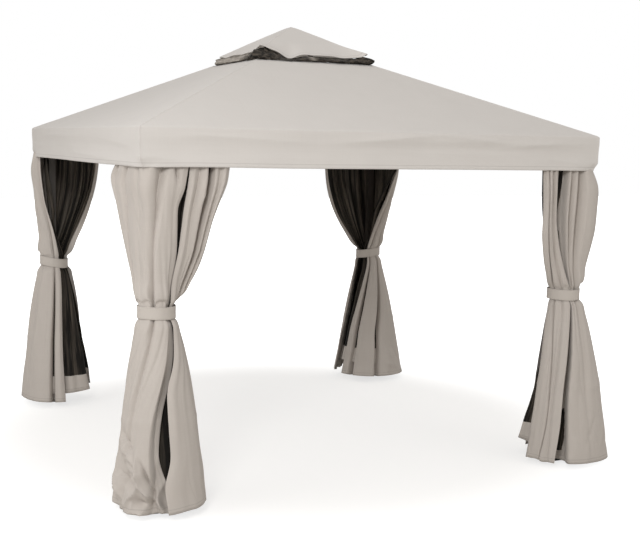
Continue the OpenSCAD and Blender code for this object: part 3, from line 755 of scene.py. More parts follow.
def fold_field(folds, u, z):
    """Outward offsets from listed folds with rounded ridges and tighter valleys.

    Each fold is its place at the rail, at the tie and at the hem (or on the skirt, low down and at the hem), then its
    offsets in mm at the rail, under the valance, half way to the tie, at the tie, on the skirt and at the hem.
    """
    us, zs = np.asarray(u).reshape(-1), np.asarray(z).reshape(-1)
    places, depths = [], []
    for rail, tie, hem, *mm in folds:
        low = hem if isinstance(hem, tuple) else (mix(tie, hem, 0.43), mix(tie, hem, 0.74), hem)
        at = [rail, mix(rail, tie, 0.2), mix(rail, tie, 0.6), tie, tie, *low]
        places.append(eased(FOLD_HEIGHTS, at, zs, 0.05))
        depths.append(eased(FOLD_HEIGHTS, [*mm[:4], mm[3], mm[4], mix(mm[4], mm[5], 0.54), mm[5]], zs, 0.04))
    places, depths = np.array(places), np.array(depths) / 1000.0
    out = np.zeros((us.size, zs.size))
    for j in range(zs.size):
        p, d = places[:, j], depths[:, j]
        i = np.clip(np.searchsorted(p, us, side="right") - 1, 0, len(p) - 2)
        s = np.clip((us - p[i]) / np.maximum(p[i + 1] - p[i], 1e-4), 0, 1)
        even = s * s * (3 - 2 * s)
        keen = np.where(d[i + 1] > d[i], 1 - (1 - s) ** 2, s * s)
        out[:, j] = mix(d[i], d[i + 1], mix(even, keen, KEENNESS))
    return out


def auto_folds(count, seed, rail, under, middle, tie, skirt, hem):
    """Alternating ridges and valleys with uneven places and depths."""
    rng = np.random.default_rng(seed)
    folds = []
    n = 2 * count
    for k in range(n + 1):
        sign = 1.0 if k % 2 == 0 else -1.0
        shift = (rng.random() - 0.5) * 0.7 / n if 0 < k < n else 0.0
        depths = [sign * d * (0.55 + 0.9 * rng.random()) for d in (rail, under, middle, tie, skirt, hem)]
        folds.append((k / n + shift, k / n + 0.8 * shift, k / n + 1.1 * shift, *depths))
    return folds


def crushed(across, z, seed):
    """Crossing creases of crushed cloth, from about -0.6 to 0.6, for places across and heights in metres."""
    bend = 0.5 * soft_noise(across * 5.0 + seed, z * 5.0, 141 + seed)
    broad = 1 - np.abs(soft_noise(across * 6.5 + z * 5.0 + bend, z * 6.0 - across * 3.5 + seed, 151 + seed)) * 1.5
    tight = 1 - np.abs(soft_noise(across * 13.0 - z * 8.0 + seed, z * 11.0 + across * 7.0 + bend, 161 + seed)) * 1.5
    return np.clip(broad, 0, 1) ** 1.3 * 0.9 + np.clip(tight, 0, 1) ** 1.6 * 0.25 - 0.6


def set_creases(across, z, creases):
    """Keen creases along given lines: each from a place and height to another, with its depth and width in mm."""
    out = 0.0 * across * z
    for x0, z0, x1, z1, depth, width in creases:
        run = np.array([x1 - x0, z1 - z0])
        t = np.clip(((across - x0) * run[0] + (z - z0) * run[1]) / (run @ run), 0, 1)
        far = np.hypot(across - x0 - t * run[0], z - z0 - t * run[1])
        out = out + depth / 1000 * np.exp(-far / (width / 1000)) * (0.35 + 0.65 * np.sin(math.pi * t))
    return out


# Finer rows go this far past a tie. How far cloth swells over and under a tie, and the arch of the swelling's foot
TIE_ZONE = 0.10
SWELL_OVER, SWELL_UNDER, SWELL_ARCH = 0.016, 0.008, 0.030
# Depths of the fine, cross and faint creases, and of the crease across the skirts at the height they were packed at
FINE_DEEP, CROSS_DEEP, FAINT_DEEP = 0.0042, 0.004, 0.0022
PACKED_Z, PACKED_DEEP = 0.53, 0.0028
# How far folds wander sideways and a hem goes up and down, and the width on which places of creases are counted
WANDER, HEM_WAVE = 0.008, 0.008
CREASE_SPAN = 1.1


def hung_sheet(corner, base_of, inside, folds, grid, seed, crush, creases=(), wide=0.0, lift=0.0):
    """Grid of points for one gathered sheet at its own corner, with its cloth map in metres.

    base_of gives plan points, inside how far the sheet hangs inside them at heights z, crush the depth of its crushed
    creases in metres with the part of the width they lie in, and creases its listed ones. Its two edges stand out
    by wide at the hem, which is lifted by lift.
    """
    bundle = BUNDLES[corner]
    sign = CORNERS[corner]
    columns, rows = grid
    hem_z = bundle["hem"] + lift
    u = np.linspace(0, 1, columns)[:, None]
    z = np.concatenate([
        np.linspace(CLOTH_TOP, TIE_HIGH + TIE_ZONE, int(rows * 0.40)),
        np.linspace(TIE_HIGH + TIE_ZONE, TIE_LOW - TIE_ZONE, int(rows * 0.2) + 2)[1:-1],
        np.linspace(TIE_LOW - TIE_ZONE, hem_z, int(rows * 0.40)),
    ])[None, :]
    base = base_of(u, z)
    step = 2e-3
    run = base_of(u + step, z) - base_of(u - step, z)
    length = np.linalg.norm(run, axis=-1, keepdims=True)
    run = run / length
    normal = np.stack([run[..., 1], -run[..., 0]], -1)
    out = fold_field(folds, u, z - tie_lift(bundle, z))
    tie_low, tie_high = TIE_LOW + bundle["rise"], TIE_HIGH + bundle["rise"]
    # Cloth swells over the tie in pillows with arched feet, and under it, most on the ridges
    ridge = np.clip(out / 0.014, -1, 1)
    foot = tie_high + 0.002 + SWELL_ARCH * np.clip(ridge, 0, 1) ** 2
    above = smooth(foot, foot + 0.012, z) * bump(z - foot - 0.030, 0.055)
    below = smooth(-tie_low, -tie_low + 0.022, -z) * bump(z - tie_low + 0.036, 0.036)
    out = out + (SWELL_OVER * above + SWELL_UNDER * below) * (0.50 + 0.50 * ridge)
    # Fine upright creases in the gathers, soft cross creases low in the skirt, and crushed cloth near the hem
    fine = soft_noise(u * columns * 0.15 + seed, z * 1.6, 51 + seed) * FINE_DEEP
    cross = soft_noise(u * 5.0 + seed, z * 8.0 + 3, 71 + seed) * CROSS_DEEP * smooth(-0.75, -0.20, -z)
    cross = cross + PACKED_DEEP * np.clip(1 - np.abs(z - PACKED_Z - 0.008 * np.sin(9 * u + seed)) / 0.030, 0, 1)
    depth, first, last = crush
    across = u * CREASE_SPAN
    where = smooth(first - 0.05, first + 0.05, u) * (1 - smooth(last - 0.05, last + 0.05, u))
    cross = cross + depth * crushed(across, z, seed) * where * smooth(-0.50, -0.16, -z)
    faint = FAINT_DEEP * soft_noise(u * 7.0 + seed, z * 5.5, 131 + seed) + set_creases(across, z, creases)
    held = 1 - bump(z - 0.5 * (tie_low + tie_high), 0.055)
    free = smooth(-CLOTH_TOP, -CLOTH_TOP + 0.08, -z)
    out = out + (fine * (0.35 + 0.65 * held) + cross + faint * held) * mix(0.5, 1.0, free)
    flare = np.clip((TIE_LOW - z) / (TIE_LOW - CURTAIN_HEM), 0, 1)
    out = out - inside(z) + wide * flare * (bump(u, 0.10) + bump(1 - u, 0.10))
    plan = base + out[..., None] * normal
    drift = WANDER * soft_noise(u * 4.0 + 5 * seed, z * 3.0, 61 + seed) * held
    plan = plan + drift[..., None] * run
    low = smooth(-0.16, -hem_z, -z)
    sway = low * (HEM_WAVE * soft_noise(u * 5.0 + seed, 0.5, 91 + seed) + 0.22 * np.clip(out, -0.03, 0.05))
    points = np.concatenate([plan, (z + 0 * u + sway)[..., None]], -1)
    points[..., 0] *= sign[0]
    points[..., 1] *= sign[1]
    steps = np.linalg.norm(np.diff(points, axis=0), axis=-1).mean(1)
    width = np.concatenate([[0], np.cumsum(steps)])
    uv = np.stack([width[:, None] + 0 * z, z - hem_z + 0 * u], -1)
    return points, uv


CLOTH_FOLDS = {
    ("front_left", "side"): [
        (0.00, 0.00, 0.00, 6, 20, 10, 4, 10, 14),
        (0.07, 0.03, 0.10, 12, 36, 20, 6, 12, 14),
        (0.15, 0.05, 0.16, -24, -6, -4, 2, 4, 4),
        (0.21, 0.07, 0.22, 14, 42, 26, 7, 4, 2),
        (0.307, 0.10, (0.33, 0.33, 0.27), 14, 40, 22, 4, 8, 8),
        (0.38, 0.125, (0.37, 0.37, 0.31), -34, -32, -28, -12, 2, 10),
        (0.455, 0.165, (0.42, 0.41, 0.36), 14, 30, 20, 7, 14, 16),
        (0.59, 0.32, (0.56, 0.55, 0.46), 12, 30, 22, 13, 16, 16),
        (0.66, 0.41, (0.62, 0.60, 0.505), 4, 18, 14, 10, 8, 6),
        (0.76, 0.55, (0.67, 0.64, 0.54), 14, 32, 24, 13, 12, 10),
        (0.845, 0.61, (0.72, 0.69, 0.585), -22, -22, -10, -15, -8, -4),
        (0.905, 0.67, (0.77, 0.745, 0.63), 12, 22, 18, 12, 12, 14),
        (0.938, 0.76, (0.86, 0.84, 0.69), 14, 26, 20, 14, 18, 20),
        (0.966, 0.83, (0.915, 0.925, 0.735), 12, 22, 20, 12, 22, 24),
        (0.983, 0.860, (0.935, 0.960, 0.785), 10, 18, 18, -9, -38, -40),
        (1.00, 1.00, (1.0, 1.0, 1.0), 8, 14, 14, -9, -50, -64),
    ],
    ("front_left", "face"): [
        (0.00, 0.00, 0.00, 2, -2, -2, 0, 12, 8),
        (0.13, 0.12, 0.10, 8, 22, 18, 6, 17, 18),
        (0.26, 0.24, 0.26, -4, -6, 4, 2, 10, 12),
        (0.41, 0.42, 0.45, 14, 30, 16, -2, 14, 16),
        (0.53, 0.62, 0.60, -48, -66, -40, -16, 8, 12),
        (0.63, 0.74, 0.72, 14, 28, 24, 8, 14, 16),
        (0.74, 0.81, 0.79, 4, 10, 6, -4, 6, 10),
        (0.85, 0.89, 0.87, 18, 28, 28, 8, 12, 14),
        (1.00, 1.00, 1.00, 2, 6, 10, -2, -6, -6),
    ],
    ("front_right", "side"): [
        (0.00, 0.00, 0.00, 4, 6, 6, 4, 10, 14),
        (0.09, 0.09, 0.10, -14, -12, -12, -6, -16, -18),
        (0.18, 0.18, 0.20, 12, 30, 22, 8, 16, 20),
        (0.27, 0.27, 0.30, -14, -14, -14, -7, -14, -14),
        (0.38, 0.37, 0.39, 14, 50, 46, 9, 18, 18),
        (0.50, 0.48, 0.48, 16, 72, 72, 9, 22, 16),
        (0.575, 0.545, 0.54, 2, 58, 58, -3, 12, 18),
        (0.65, 0.61, 0.60, 18, 84, 80, 9, 24, 24),
        (0.73, 0.75, 0.70, 10, 50, 46, 8, 14, 16),
        (0.79, 0.85, 0.77, -26, -22, -18, -16, -2, 10),
        (0.835, 0.915, 0.81, 12, 26, 24, 8, 16, 18),
        (0.88, 0.945, (0.87, 0.86, 0.82), -8, -6, -4, -4, 18, 20),
        (0.93, 0.97, (0.945, 0.922, 0.892), 18, 34, 28, 10, 28, 34),
        (0.95, 0.98, (0.956, 0.932, 0.903), -40, -52, -20, -6, -84, -94),
        (1.00, 1.00, (1.0, 1.0, 1.0), -60, -80, -40, -12, -88, -98),
    ],
    ("front_right", "face"): [
        (0.00, 0.00, 0.00, 8, 16, 14, 8, 26, 24),
        (0.20, 0.20, 0.16, 14, 30, 26, 9, 24, 22),
        (0.34, 0.32, 0.27, -6, 0, 4, -4, 10, 12),
        (0.46, 0.44, 0.38, 12, 24, 24, 6, 16, 18),
        (0.60, 0.58, (0.445, 0.40, 0.51), 14, 28, 24, 7, 16, 18),
        (0.64, 0.64, (0.465, 0.42, 0.53), -14, -14, -10, -10, -20, -24),
        (0.68, 0.70, (0.485, 0.44, 0.55), 10, 20, 18, 6, 16, 18),
        (0.84, 0.85, 0.82, 14, 26, 30, 8, 30, 30),
        (1.00, 1.00, 1.00, -6, -2, 2, -2, 20, 22),
    ],
    ("back_left", "side"): [
        (0.00, 0.00, 0.00, 4, 8, 8, 2, 6, 8),
        (0.03, 0.04, 0.05, 10, 18, 14, 6, 16, 18),
        (0.05, 0.085, 0.084, 8, 14, 10, 4, 14, 18),
        (0.065, 0.110, 0.120, 0, 0, -4, -9, -92, -98),
        (0.080, 0.135, 0.157, 8, 14, 10, 4, 14, 18),
        (0.11, 0.19, 0.19, 16, 36, 26, 8, 20, 22),
        (0.18, 0.32, 0.34, 28, 62, 48, 5, 12, 10),
        (0.25, 0.44, 0.46, 34, 76, 66, -4, -4, -2),
        (0.33, 0.58, 0.58, 38, 88, 84, 10, 14, 16),
        (0.45, 0.68, 0.70, -6, 10, 10, -8, -10, -12),
        (0.62, 0.80, 0.82, 14, 34, 24, 8, 16, 18),
        (0.82, 0.90, 0.91, -12, -12, -10, -7, -10, -12),
        (1.00, 1.00, 1.00, 6, 12, 8, 2, 4, 6),
    ],
    ("back_left", "face"): auto_folds(4, 5, 12, 26, 20, 8, 15, 18),
    ("back_right", "side"): [
        (0.00, 0.00, 0.00, 2, 4, 4, 2, 6, 8),
        (0.030, 0.026, 0.036, 8, 14, 12, 6, 14, 16),
        (0.050, 0.042, 0.052, 6, 10, 8, 4, 14, 16),
        (0.078, 0.062, 0.082, -14, -14, -16, -10, -90, -100),
        (0.106, 0.082, 0.112, 6, 10, 8, 4, 16, 18),
        (0.13, 0.12, 0.135, 14, 40, 34, 9, 24, 26),
        (0.19, 0.18, 0.20, 10, 30, 26, 8, 22, 24),
        (0.230, 0.220, 0.238, 6, 14, 10, 4, 16, 18),
        (0.26, 0.25, 0.27, -20, -20, -24, -13, -90, -70),
        (0.290, 0.276, 0.302, 10, 30, 24, 5, 12, 2),
        (0.34, 0.33, 0.34, 18, 66, 58, 10, 20, 12),
        (0.42, 0.41, 0.42, 4, 40, 34, -6, 10, 24),
        (0.50, 0.50, 0.50, 14, 46, 40, 8, 18, 22),
        (0.60, 0.58, 0.60, -12, -14, -14, -8, -12, -14),
        (0.72, 0.70, 0.72, 14, 34, 24, 8, 16, 18),
        (0.83, 0.82, 0.83, -12, -14, -12, -8, -12, -14),
        (0.92, 0.91, 0.92, 12, 26, 18, 7, 14, 16),
        (1.00, 1.00, 1.00, -4, -2, -4, -4, -8, -10),
    ],
    ("back_right", "face"): auto_folds(4, 8, 12, 26, 20, 8, 15, 18),
}
# Depth of the crushed creases and the part of the width they lie in
UNCRUSHED = (0.0, 0.0, 1.0)
CRUSHED = {
    ("front_left", "side"): (0.034, 0.34, 1.2),
    ("front_right", "side"): (0.044, 0.91, 1.2),
    ("back_right", "side"): (0.022, 0.28, 0.52),
}

# Creases from a place across and a height to another, all in metres, with their depth and width in mm
CREASES = {
    ("front_left", "side"): (
        (0.56, 1.62, 0.64, 1.40, -9, 14), (0.60, 1.55, 0.66, 1.30, 6, 16), (0.34, 1.75, 0.42, 1.60, -7, 14),
        (0.995, 1.94, 1.03, 1.82, -32, 11),
        (0.60, 0.46, 0.84, 0.38, -36, 18), (0.62, 0.41, 0.88, 0.30, 30, 18), (0.90, 0.35, 0.87, 0.18, 38, 18),
        (0.94, 0.32, 0.95, 0.11, -54, 22), (0.865, 0.20, 0.715, 0.08, 38, 17), (0.865, 0.20, 1.00, 0.07, 38, 17),
        (0.78, 0.115, 0.92, 0.10, -46, 18), (0.57, 0.22, 0.70, 0.09, 30, 17), (0.62, 0.25, 0.80, 0.19, -42, 18),
    ),
    ("front_left", "face"): (
        (0.62, 1.95, 0.60, 1.85, -46, 16), (0.62, 1.80, 0.44, 1.72, 12, 12), (0.70, 1.50, 0.52, 1.28, -12, 14),
        (0.78, 1.46, 0.62, 1.24, 10, 14), (0.88, 1.42, 0.78, 1.22, -10, 12), (0.95, 1.30, 0.86, 1.20, -12, 10),
        (0.40, 1.45, 0.36, 1.22, -8, 14), (0.55, 0.42, 0.72, 0.18, -4, 20), (0.30, 0.30, 0.42, 0.10, -5, 18),
    ),
    ("front_right", "side"): (
        (0.56, 1.66, 0.66, 1.60, -10, 12), (0.54, 1.48, 0.64, 1.44, -7, 12), (0.80, 0.33, 0.90, 0.14, -9, 14),
        (0.70, 0.30, 0.78, 0.10, 7, 16), (0.88, 0.30, 0.80, 0.16, 8, 14), (0.60, 0.52, 0.86, 0.50, 4, 8),
        (0.96, 0.60, 0.90, 0.44, -8, 14), (0.62, 0.20, 0.70, 0.08, -7, 14),
    ),
    ("front_right", "face"): ((0.30, 1.50, 0.42, 1.25, -7, 14), (0.20, 0.40, 0.40, 0.34, -4, 14)),
    ("back_left", "side"): ((0.30, 1.70, 0.34, 1.40, -8, 16), (0.36, 0.34, 0.44, 0.12, -5, 18)),
    ("back_right", "side"): (
        (0.36, 1.50, 0.44, 1.22, -14, 14), (0.30, 1.42, 0.36, 1.20, 10, 14), (0.44, 0.36, 0.54, 0.12, -16, 18),
        (0.36, 0.28, 0.46, 0.16, 14, 16), (0.48, 0.90, 0.50, 0.45, -10, 18),
    ),
}
# Share of a net's width over which its cloth hem takes the black netting instead: painted shade where the hem shows
# in the split
NET_HEM_PAINTED_SHADE = {"front_right": 0.72}
# Columns and rows of the sheets, and of the two with the finest creases
GRID = {"side": (170, 120), "face": (76, 120), "net": (130, 72)}
FINE_GRID = {("front_left", "side"): (180, 215), ("front_right", "side"): (200, 140)}


def make_curtains():
    """Two gathered cloth halves and one gathered net at every corner, hung from the rails of its two sides."""
    for c, corner in enumerate(CORNERS):
        turned = CORNERS[corner][0] * CORNERS[corner][1] < 0
        for k, part in enumerate(("side", "face")):
            half = (corner, part)
            points, uv = hung_sheet(
                corner, lambda u, z: half_base(u, z, *half), lambda z: 0.0, CLOTH_FOLDS[half],
                FINE_GRID.get(half, GRID[part]), 3 * c + k, CRUSHED.get(half, UNCRUSHED), CREASES.get(half, ()),
            )
            cloth = sheet_object(
                f"curtain_{corner}_{part}", points, uv, uv[..., 1], [CURTAIN_CLOTH], CURTAIN_THICK, flip=not turned,
            )
            finish_piece(cloth, "curtain_cloth", f"curtain_{corner}")
        points, uv = hung_sheet(
            corner, lambda u, z: net_base(u, z, corner), lambda z: net_inside(corner, z),
            auto_folds(13, 20 + c, 7, 8, 8, 4, 9, 9), GRID["net"], 30 + 3 * c, UNCRUSHED,
            wide=BUNDLES[corner]["net"]["wide"], lift=BUNDLES[corner]["net"]["lift"],
        )
        # The cloth hem of the net; over the first share of its width it takes the black netting, painted shade where
        # it shows in the split, so only its loose end shows as cloth
        band = (uv[..., 1] < NET_HEM).astype(int)
        band[: int(NET_HEM_PAINTED_SHADE.get(corner, 0.0) * len(band))] = 0
        net = sheet_object(
            f"net_{corner}", points, uv, uv[..., 1], [NETTING, CURTAIN_CLOTH], NET_THICK, flip=not turned, band=band,
        )
        finish_piece(net, "netting", f"netting_{corner}")


# Section of a tie from its lower to its upper edge: how far it stands out, and its height as a share of the width
TIE_SECTION = (
    (0.0, -0.5), (0.0022, -0.485), (0.0028, -0.42), (0.0022, -0.2), (0.0020, 0.0),
    (0.0022, 0.2), (0.0028, 0.42), (0.0022, 0.485), (0.0, 0.5),
)
# How uneven a tie is round the bundle, and how far it goes up and down
TIE_UNEVEN, TIE_WAVE = 0.0016, 0.002


def make_ties():
    """Cloth bands round the gathered curtains, a little uneven, with turned edges."""
    for c, corner in enumerate(CORNERS):
        sx, sy = CORNERS[corner]
        phi = np.linspace(0, 2 * math.pi, 97)[:-1]
        slope, rise = BUNDLES[corner]["slope"], BUNDLES[corner]["rise"]
        across = sx * np.cos(phi) * ACROSS[0] + sy * np.sin(phi) * ACROSS[1]
        uneven = TIE_UNEVEN * soft_noise(np.cos(phi) * 2 + 4, np.sin(phi) * 2 + c, 101)
        rows = []
        for out, up in TIE_SECTION:
            r = TIE_R + out + uneven
            z = 0.5 * (TIE_LOW + TIE_HIGH) + up * (TIE_HIGH - TIE_LOW) + rise
            z = z + slope * across + TIE_WAVE * np.sin(2 * phi + 1.3 * c)
            rows.append(np.stack([BUNDLE + r * np.cos(phi), BUNDLE + r * np.sin(phi), z], -1))
        points = np.stack(rows, 1)
        points[..., 0] *= sx
        points[..., 1] *= sy
        section = np.array(TIE_SECTION) * (1.0, TIE_HIGH - TIE_LOW)
        v = np.concatenate([[0], np.cumsum(np.linalg.norm(np.diff(section, axis=0), axis=-1))])
        uv = np.stack(np.broadcast_arrays((phi * TIE_R)[:, None], v[None, :]), -1)
        edge = np.minimum(uv[..., 1], v[-1] - uv[..., 1])
        tie = sheet_object(
            f"tie_band_{corner}", points, uv, edge, [TIE_CLOTH], TIE_THICK, ring=True, flip=sx * sy < 0,
        )
        finish_piece(tie, "curtain_cloth", f"tie_{corner}")


# Rings and screws, in metres, with the places that the frame gives them
RING_R, RING_WIRE = 0.0145, 0.0016
RING_Z = RAIL_Z + RAIL_R + RING_WIRE - RING_R
# A ring goes on ridges of at least this height in mm, and keeps clear of the corner's middle
RING_RIDGE, RING_CLEAR = 4, 0.09
WASHER_R, WASHER_THICK = 0.0085, 0.0014
HEAD_STEP, HEAD_TALL, HEAD_ROUND = 0.0026, 0.0030, 0.0013
SOCKET_STEP, SOCKET_DEEP = 0.0013, 0.0018
BEAM_INSIDE, BEAM_Z = 1.4658, 2.0922
BEAM_SCREW = 1.4098
POST, POST_HALF, FOOT_SCREW_Z = 1.380, 0.025, 0.051
RAFTER_SCREW, RAFTER_HALF, RAFTER_SCREW_Z = 1.4286, 0.0125, 2.1162


def select_top(obj):
    """Selects the highest upward face of the mesh in edit mode."""
    mesh = bmesh.from_edit_mesh(obj.data)
    top = max(face.calc_center_median().z for face in mesh.faces if face.normal.z > 0.9)
    for face in mesh.faces:
        face.select_set(face.normal.z > 0.9 and face.calc_center_median().z > top - 1e-5)
    mesh.select_flush(False)
    bmesh.update_edit_mesh(obj.data)


def shape_screw():
    """Socket screw with a rounded head on its washer, standing on the ground plane."""
    deselect()
    bpy.ops.mesh.primitive_cylinder_add(
        vertices=14, radius=WASHER_R, depth=WASHER_THICK, location=(0, 0, WASHER_THICK / 2),
    )
    screw = bpy.context.object
    bpy.ops.object.transform_apply(location=True, rotation=False, scale=False)
    bpy.ops.object.mode_set(mode="EDIT")
    bpy.ops.mesh.select_mode(type="FACE")
    select_top(screw)
    bpy.ops.mesh.inset(thickness=HEAD_STEP)
    bpy.ops.mesh.extrude_region_move(TRANSFORM_OT_translate={"value": (0, 0, HEAD_TALL)})
    bpy.ops.mesh.bevel(offset=HEAD_ROUND, segments=2, affect="EDGES")
    select_top(screw)
    bpy.ops.mesh.inset(thickness=SOCKET_STEP)
    bpy.ops.mesh.extrude_region_move(TRANSFORM_OT_translate={"value": (0, 0, -SOCKET_DEEP)})
    bpy.ops.object.mode_set(mode="OBJECT")
    bpy.ops.object.shade_smooth_by_angle(angle=math.radians(40))
    screw.data.materials.append(ZINC)
    return screw


def shape_ring():
    """Wire curtain ring round the upright axis."""
    deselect()
    bpy.ops.mesh.primitive_circle_add(
        vertices=8, radius=RING_WIRE, location=(RING_R, 0, 0), rotation=(math.pi / 2, 0, 0),
    )
    ring = bpy.context.object
    bpy.ops.object.transform_apply(location=True, rotation=True, scale=False)
    bpy.ops.object.mode_set(mode="EDIT")
    bpy.ops.mesh.select_all(action="SELECT")
    bpy.ops.mesh.spin(steps=18, angle=2 * math.pi, center=(0, 0, 0), axis=(0, 0, 1))
    bpy.ops.mesh.select_all(action="SELECT")
    bpy.ops.mesh.remove_doubles(threshold=0.00002)
    bpy.ops.mesh.normals_make_consistent(inside=False)
    bpy.ops.object.mode_set(mode="OBJECT")
    bpy.ops.object.shade_smooth()
    ring.data.materials.append(ZINC)
    return ring


def set_copies(pattern, name, places):
    """One piece of copies of a pattern; each place is a point and the direction of the pattern's upright axis."""
    copies = []
    for point, axis in places:
        copy = pattern.copy()
        copy.data = pattern.data.copy()
        stand = Vector(axis).to_track_quat("Z", "Y").to_matrix().to_4x4()
        copy.data.transform(Matrix.Translation(point) @ stand)
        bpy.context.scene.collection.objects.link(copy)
        copies.append(copy)
    deselect()
    for copy in copies:
        copy.select_set(True)
    bpy.context.view_layer.objects.active = copies[0]
    bpy.ops.object.join()
    copies[0].name = name
    return finish_piece(copies[0], "frame_steel")


def make_rings():
    """A ring on the rail at every ridge of the curtains' headings."""
    ring = shape_ring()
    for corner, (sx, sy) in CORNERS.items():
        places = []
        for part in ("side", "face"):
            first, last = BUNDLES[corner][part]["rail"]
            for place, _, _, heading, *_ in CLOTH_FOLDS[(corner, part)]:
                along = mix(first, last, place)
                if heading < RING_RIDGE or abs(along) < RING_CLEAR:
                    continue
                x, y = rail_point(np.array(along))
                places.append(((sx * x, sy * y, RING_Z), (1, 0, 0) if along > 0 else (0, 1, 0)))
        set_copies(ring, f"curtain_rings_{corner}", places)
    bpy.data.objects.remove(ring)


def make_screws():
    """Screws that hold the beams, the rafters and the feet in their plugs."""
    screw = shape_screw()
    beams, rafters, feet = [], [], []
    for side in SIDES.values():
        for end in (-1, 1):
            point = turn(np.array([end * BEAM_SCREW, -BEAM_INSIDE, BEAM_Z]), side)
            beams.append((point, turn(np.array([0.0, 1.0, 0.0]), side)))
    for sx, sy in CORNERS.values():
        for flip in (-1, 1):
            across = Vector((flip * sx, -flip * sy, 0)).normalized()
            point = Vector((sx * RAFTER_SCREW, sy * RAFTER_SCREW, RAFTER_SCREW_Z)) + RAFTER_HALF * across
            rafters.append((point, across))
        feet.append(((sx * (POST - POST_HALF), sy * POST, FOOT_SCREW_Z), (-sx, 0, 0)))
        feet.append(((sx * POST, sy * (POST - POST_HALF), FOOT_SCREW_Z), (0, -sy, 0)))
    for name, places in (("beam_screws", beams), ("rafter_screws", rafters), ("foot_screws", feet)):
        set_copies(screw, name, places)
    bpy.data.objects.remove(screw)


def dress_frame():
    """Powder coat on the steel that the frame brings along."""
    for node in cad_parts.values():
        if not node.hide_render:
            node.data.materials.clear()
            node.data.materials.append(STEEL)


# Stage: the floor's size, colour and glow, the distances over which its shadow fades, and what stays of the glow near
FLOOR_SIZE, FLOOR_COLOUR, FLOOR_GLOW = 60.0, (0.72, 0.70, 0.67, 1), 1.62
FADE_START, FADE_END, NEAR_GLOW = 1.6, 3.4, 0.40
SKY_COLOUR, SKY_STRENGTH = (1.0, 0.972, 0.935, 1), 0.55
WHITE = (1.0, 1.0, 1.0, 1)
# Round lamps with their place, width, power and colour, and the point they shine at
LAMPS = {
    "key": ((-4.2, -6.0, 4.6), 1.8, 175.0, (0.99, 0.995, 1.0)),
    "top": ((-0.5, -1.0, 7.5), 6.0, 32.0, (1.0, 1.0, 1.0)),
    "left": ((-7.0, -2.0, 3.0), 4.0, 92.0, (0.985, 0.99, 1.0)),
    "right": ((4.0, -7.0, 3.0), 4.0, 56.0, (1.0, 0.985, 0.965)),
}
LAMPS_AIM = Vector((0, 0, 1.2))
# The camera's place, its yaw, pitch and roll in degrees, and its lens for a picture 640 pixels wide
CAMERA_AT = (-3.05, -7.00, 2.04)
CAMERA_TURNS = (-25.31, -6.93, 1.09)
SENSOR = 36.0
LENS = 1077.1 / 640.0 * SENSOR


def make_floor():
    """Pale floor: seen by the camera it keeps a softened shadow round the object and is plain white further away."""
    deselect()
    bpy.ops.mesh.primitive_plane_add(size=FLOOR_SIZE, location=(0, 0, -0.0005))
    floor = bpy.context.object
    floor.name = "floor"
    mat, tree, shader = new_material("floor")
    feed(tree, shader, {"Base Color": FLOOR_COLOUR, "Roughness": 1.0, "Specular IOR Level": 0.0})
    glow = add_node(tree, "Emission", {"Strength": FLOOR_GLOW})
    place = add_node(tree, "TexCoord").outputs["Object"]
    away = add_node(tree, "VectorMath", {0: place}, operation="LENGTH").outputs["Value"]
    fade = add_node(tree, "MapRange", {
        "Value": away, "From Min": FADE_START, "From Max": FADE_END, "To Min": NEAR_GLOW, "To Max": 1.0,
    }, interpolation_type="SMOOTHSTEP").outputs[0]
    seen = add_node(tree, "LightPath").outputs["Is Camera Ray"]
    share = math_node(tree, "MULTIPLY", seen, fade)
    blend = add_node(tree, "MixShader", {0: share, 1: shader.outputs[0], 2: glow.outputs[0]})
    feed(tree, tree.nodes["Material Output"], {"Surface": blend.outputs[0]})
    floor.data.materials.append(mat)


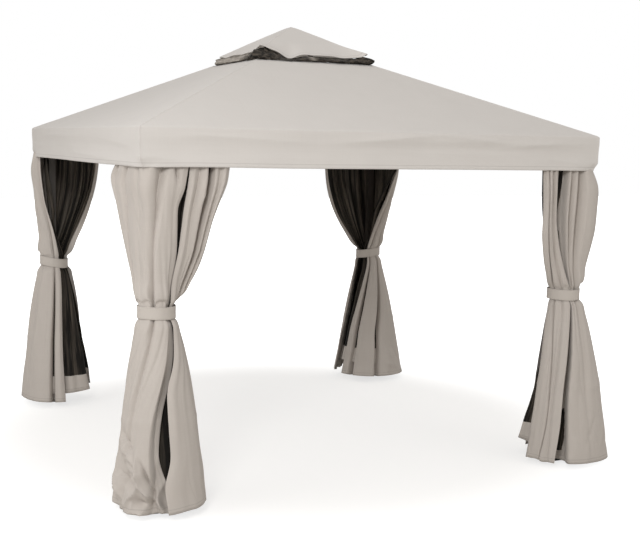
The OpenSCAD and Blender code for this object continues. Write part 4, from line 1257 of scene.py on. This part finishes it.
def make_light():
    """Soft light from a warm sky that is seen as plain white, and four round lamps."""
    world = bpy.data.worlds.new("studio")
    bpy.context.scene.world = world
    world.use_nodes = True
    tree = world.node_tree
    tree.nodes.clear()
    light = add_node(tree, "Background", {"Color": SKY_COLOUR, "Strength": SKY_STRENGTH})
    white = add_node(tree, "Background", {"Color": WHITE, "Strength": 1.0})
    rays = add_node(tree, "LightPath").outputs
    seen = math_node(tree, "MAXIMUM", rays["Is Glossy Ray"], rays["Is Transmission Ray"])
    seen = math_node(tree, "MAXIMUM", rays["Is Camera Ray"], seen)
    switch = add_node(tree, "MixShader", {0: seen, 1: light.outputs[0], 2: white.outputs[0]})
    add_node(tree, "OutputWorld", {"Surface": switch.outputs[0]})
    for name, (place, size, power, colour) in LAMPS.items():
        lamp = bpy.data.lights.new(name, "AREA")
        lamp.shape = "DISK"
        lamp.size = size
        lamp.energy = power
        lamp.color = colour
        obj = link_object(name, lamp)
        obj.location = place
        obj.rotation_euler = (LAMPS_AIM - Vector(place)).to_track_quat("-Z", "Y").to_euler()


def make_camera():
    """The camera of the photograph."""
    yaw, pitch, roll = (math.radians(a) for a in CAMERA_TURNS)
    ahead = Vector((-math.sin(yaw) * math.cos(pitch), math.cos(yaw) * math.cos(pitch), math.sin(pitch)))
    right = Vector((math.cos(yaw), math.sin(yaw), 0))
    up = right.cross(ahead)
    across = right * math.cos(roll) + up * math.sin(roll)
    above = up * math.cos(roll) - right * math.sin(roll)
    cam = bpy.data.cameras.new("camera")
    cam.sensor_width = SENSOR
    cam.lens = LENS
    cam.clip_end = 200.0
    view = link_object("camera", cam)
    matrix = Matrix((across, above, -ahead)).transposed().to_4x4()
    matrix.translation = CAMERA_AT
    view.matrix_world = matrix
    bpy.context.scene.camera = view
    bpy.context.scene.view_settings.view_transform = "Standard"


deselect()
canopy = make_canopy()
finish_piece(canopy, "canopy_cloth", "canopy_front", "canopy_right", "canopy_back", "canopy_left")
cap = make_cap()
finish_piece(cap, "canopy_cloth", "vent_cap")
ruffle = make_ruffle()
finish_piece(ruffle, "netting", "vent_netting")
make_curtains()
make_ties()
make_rings()
make_screws()
dress_frame()
make_floor()
make_light()
make_camera()
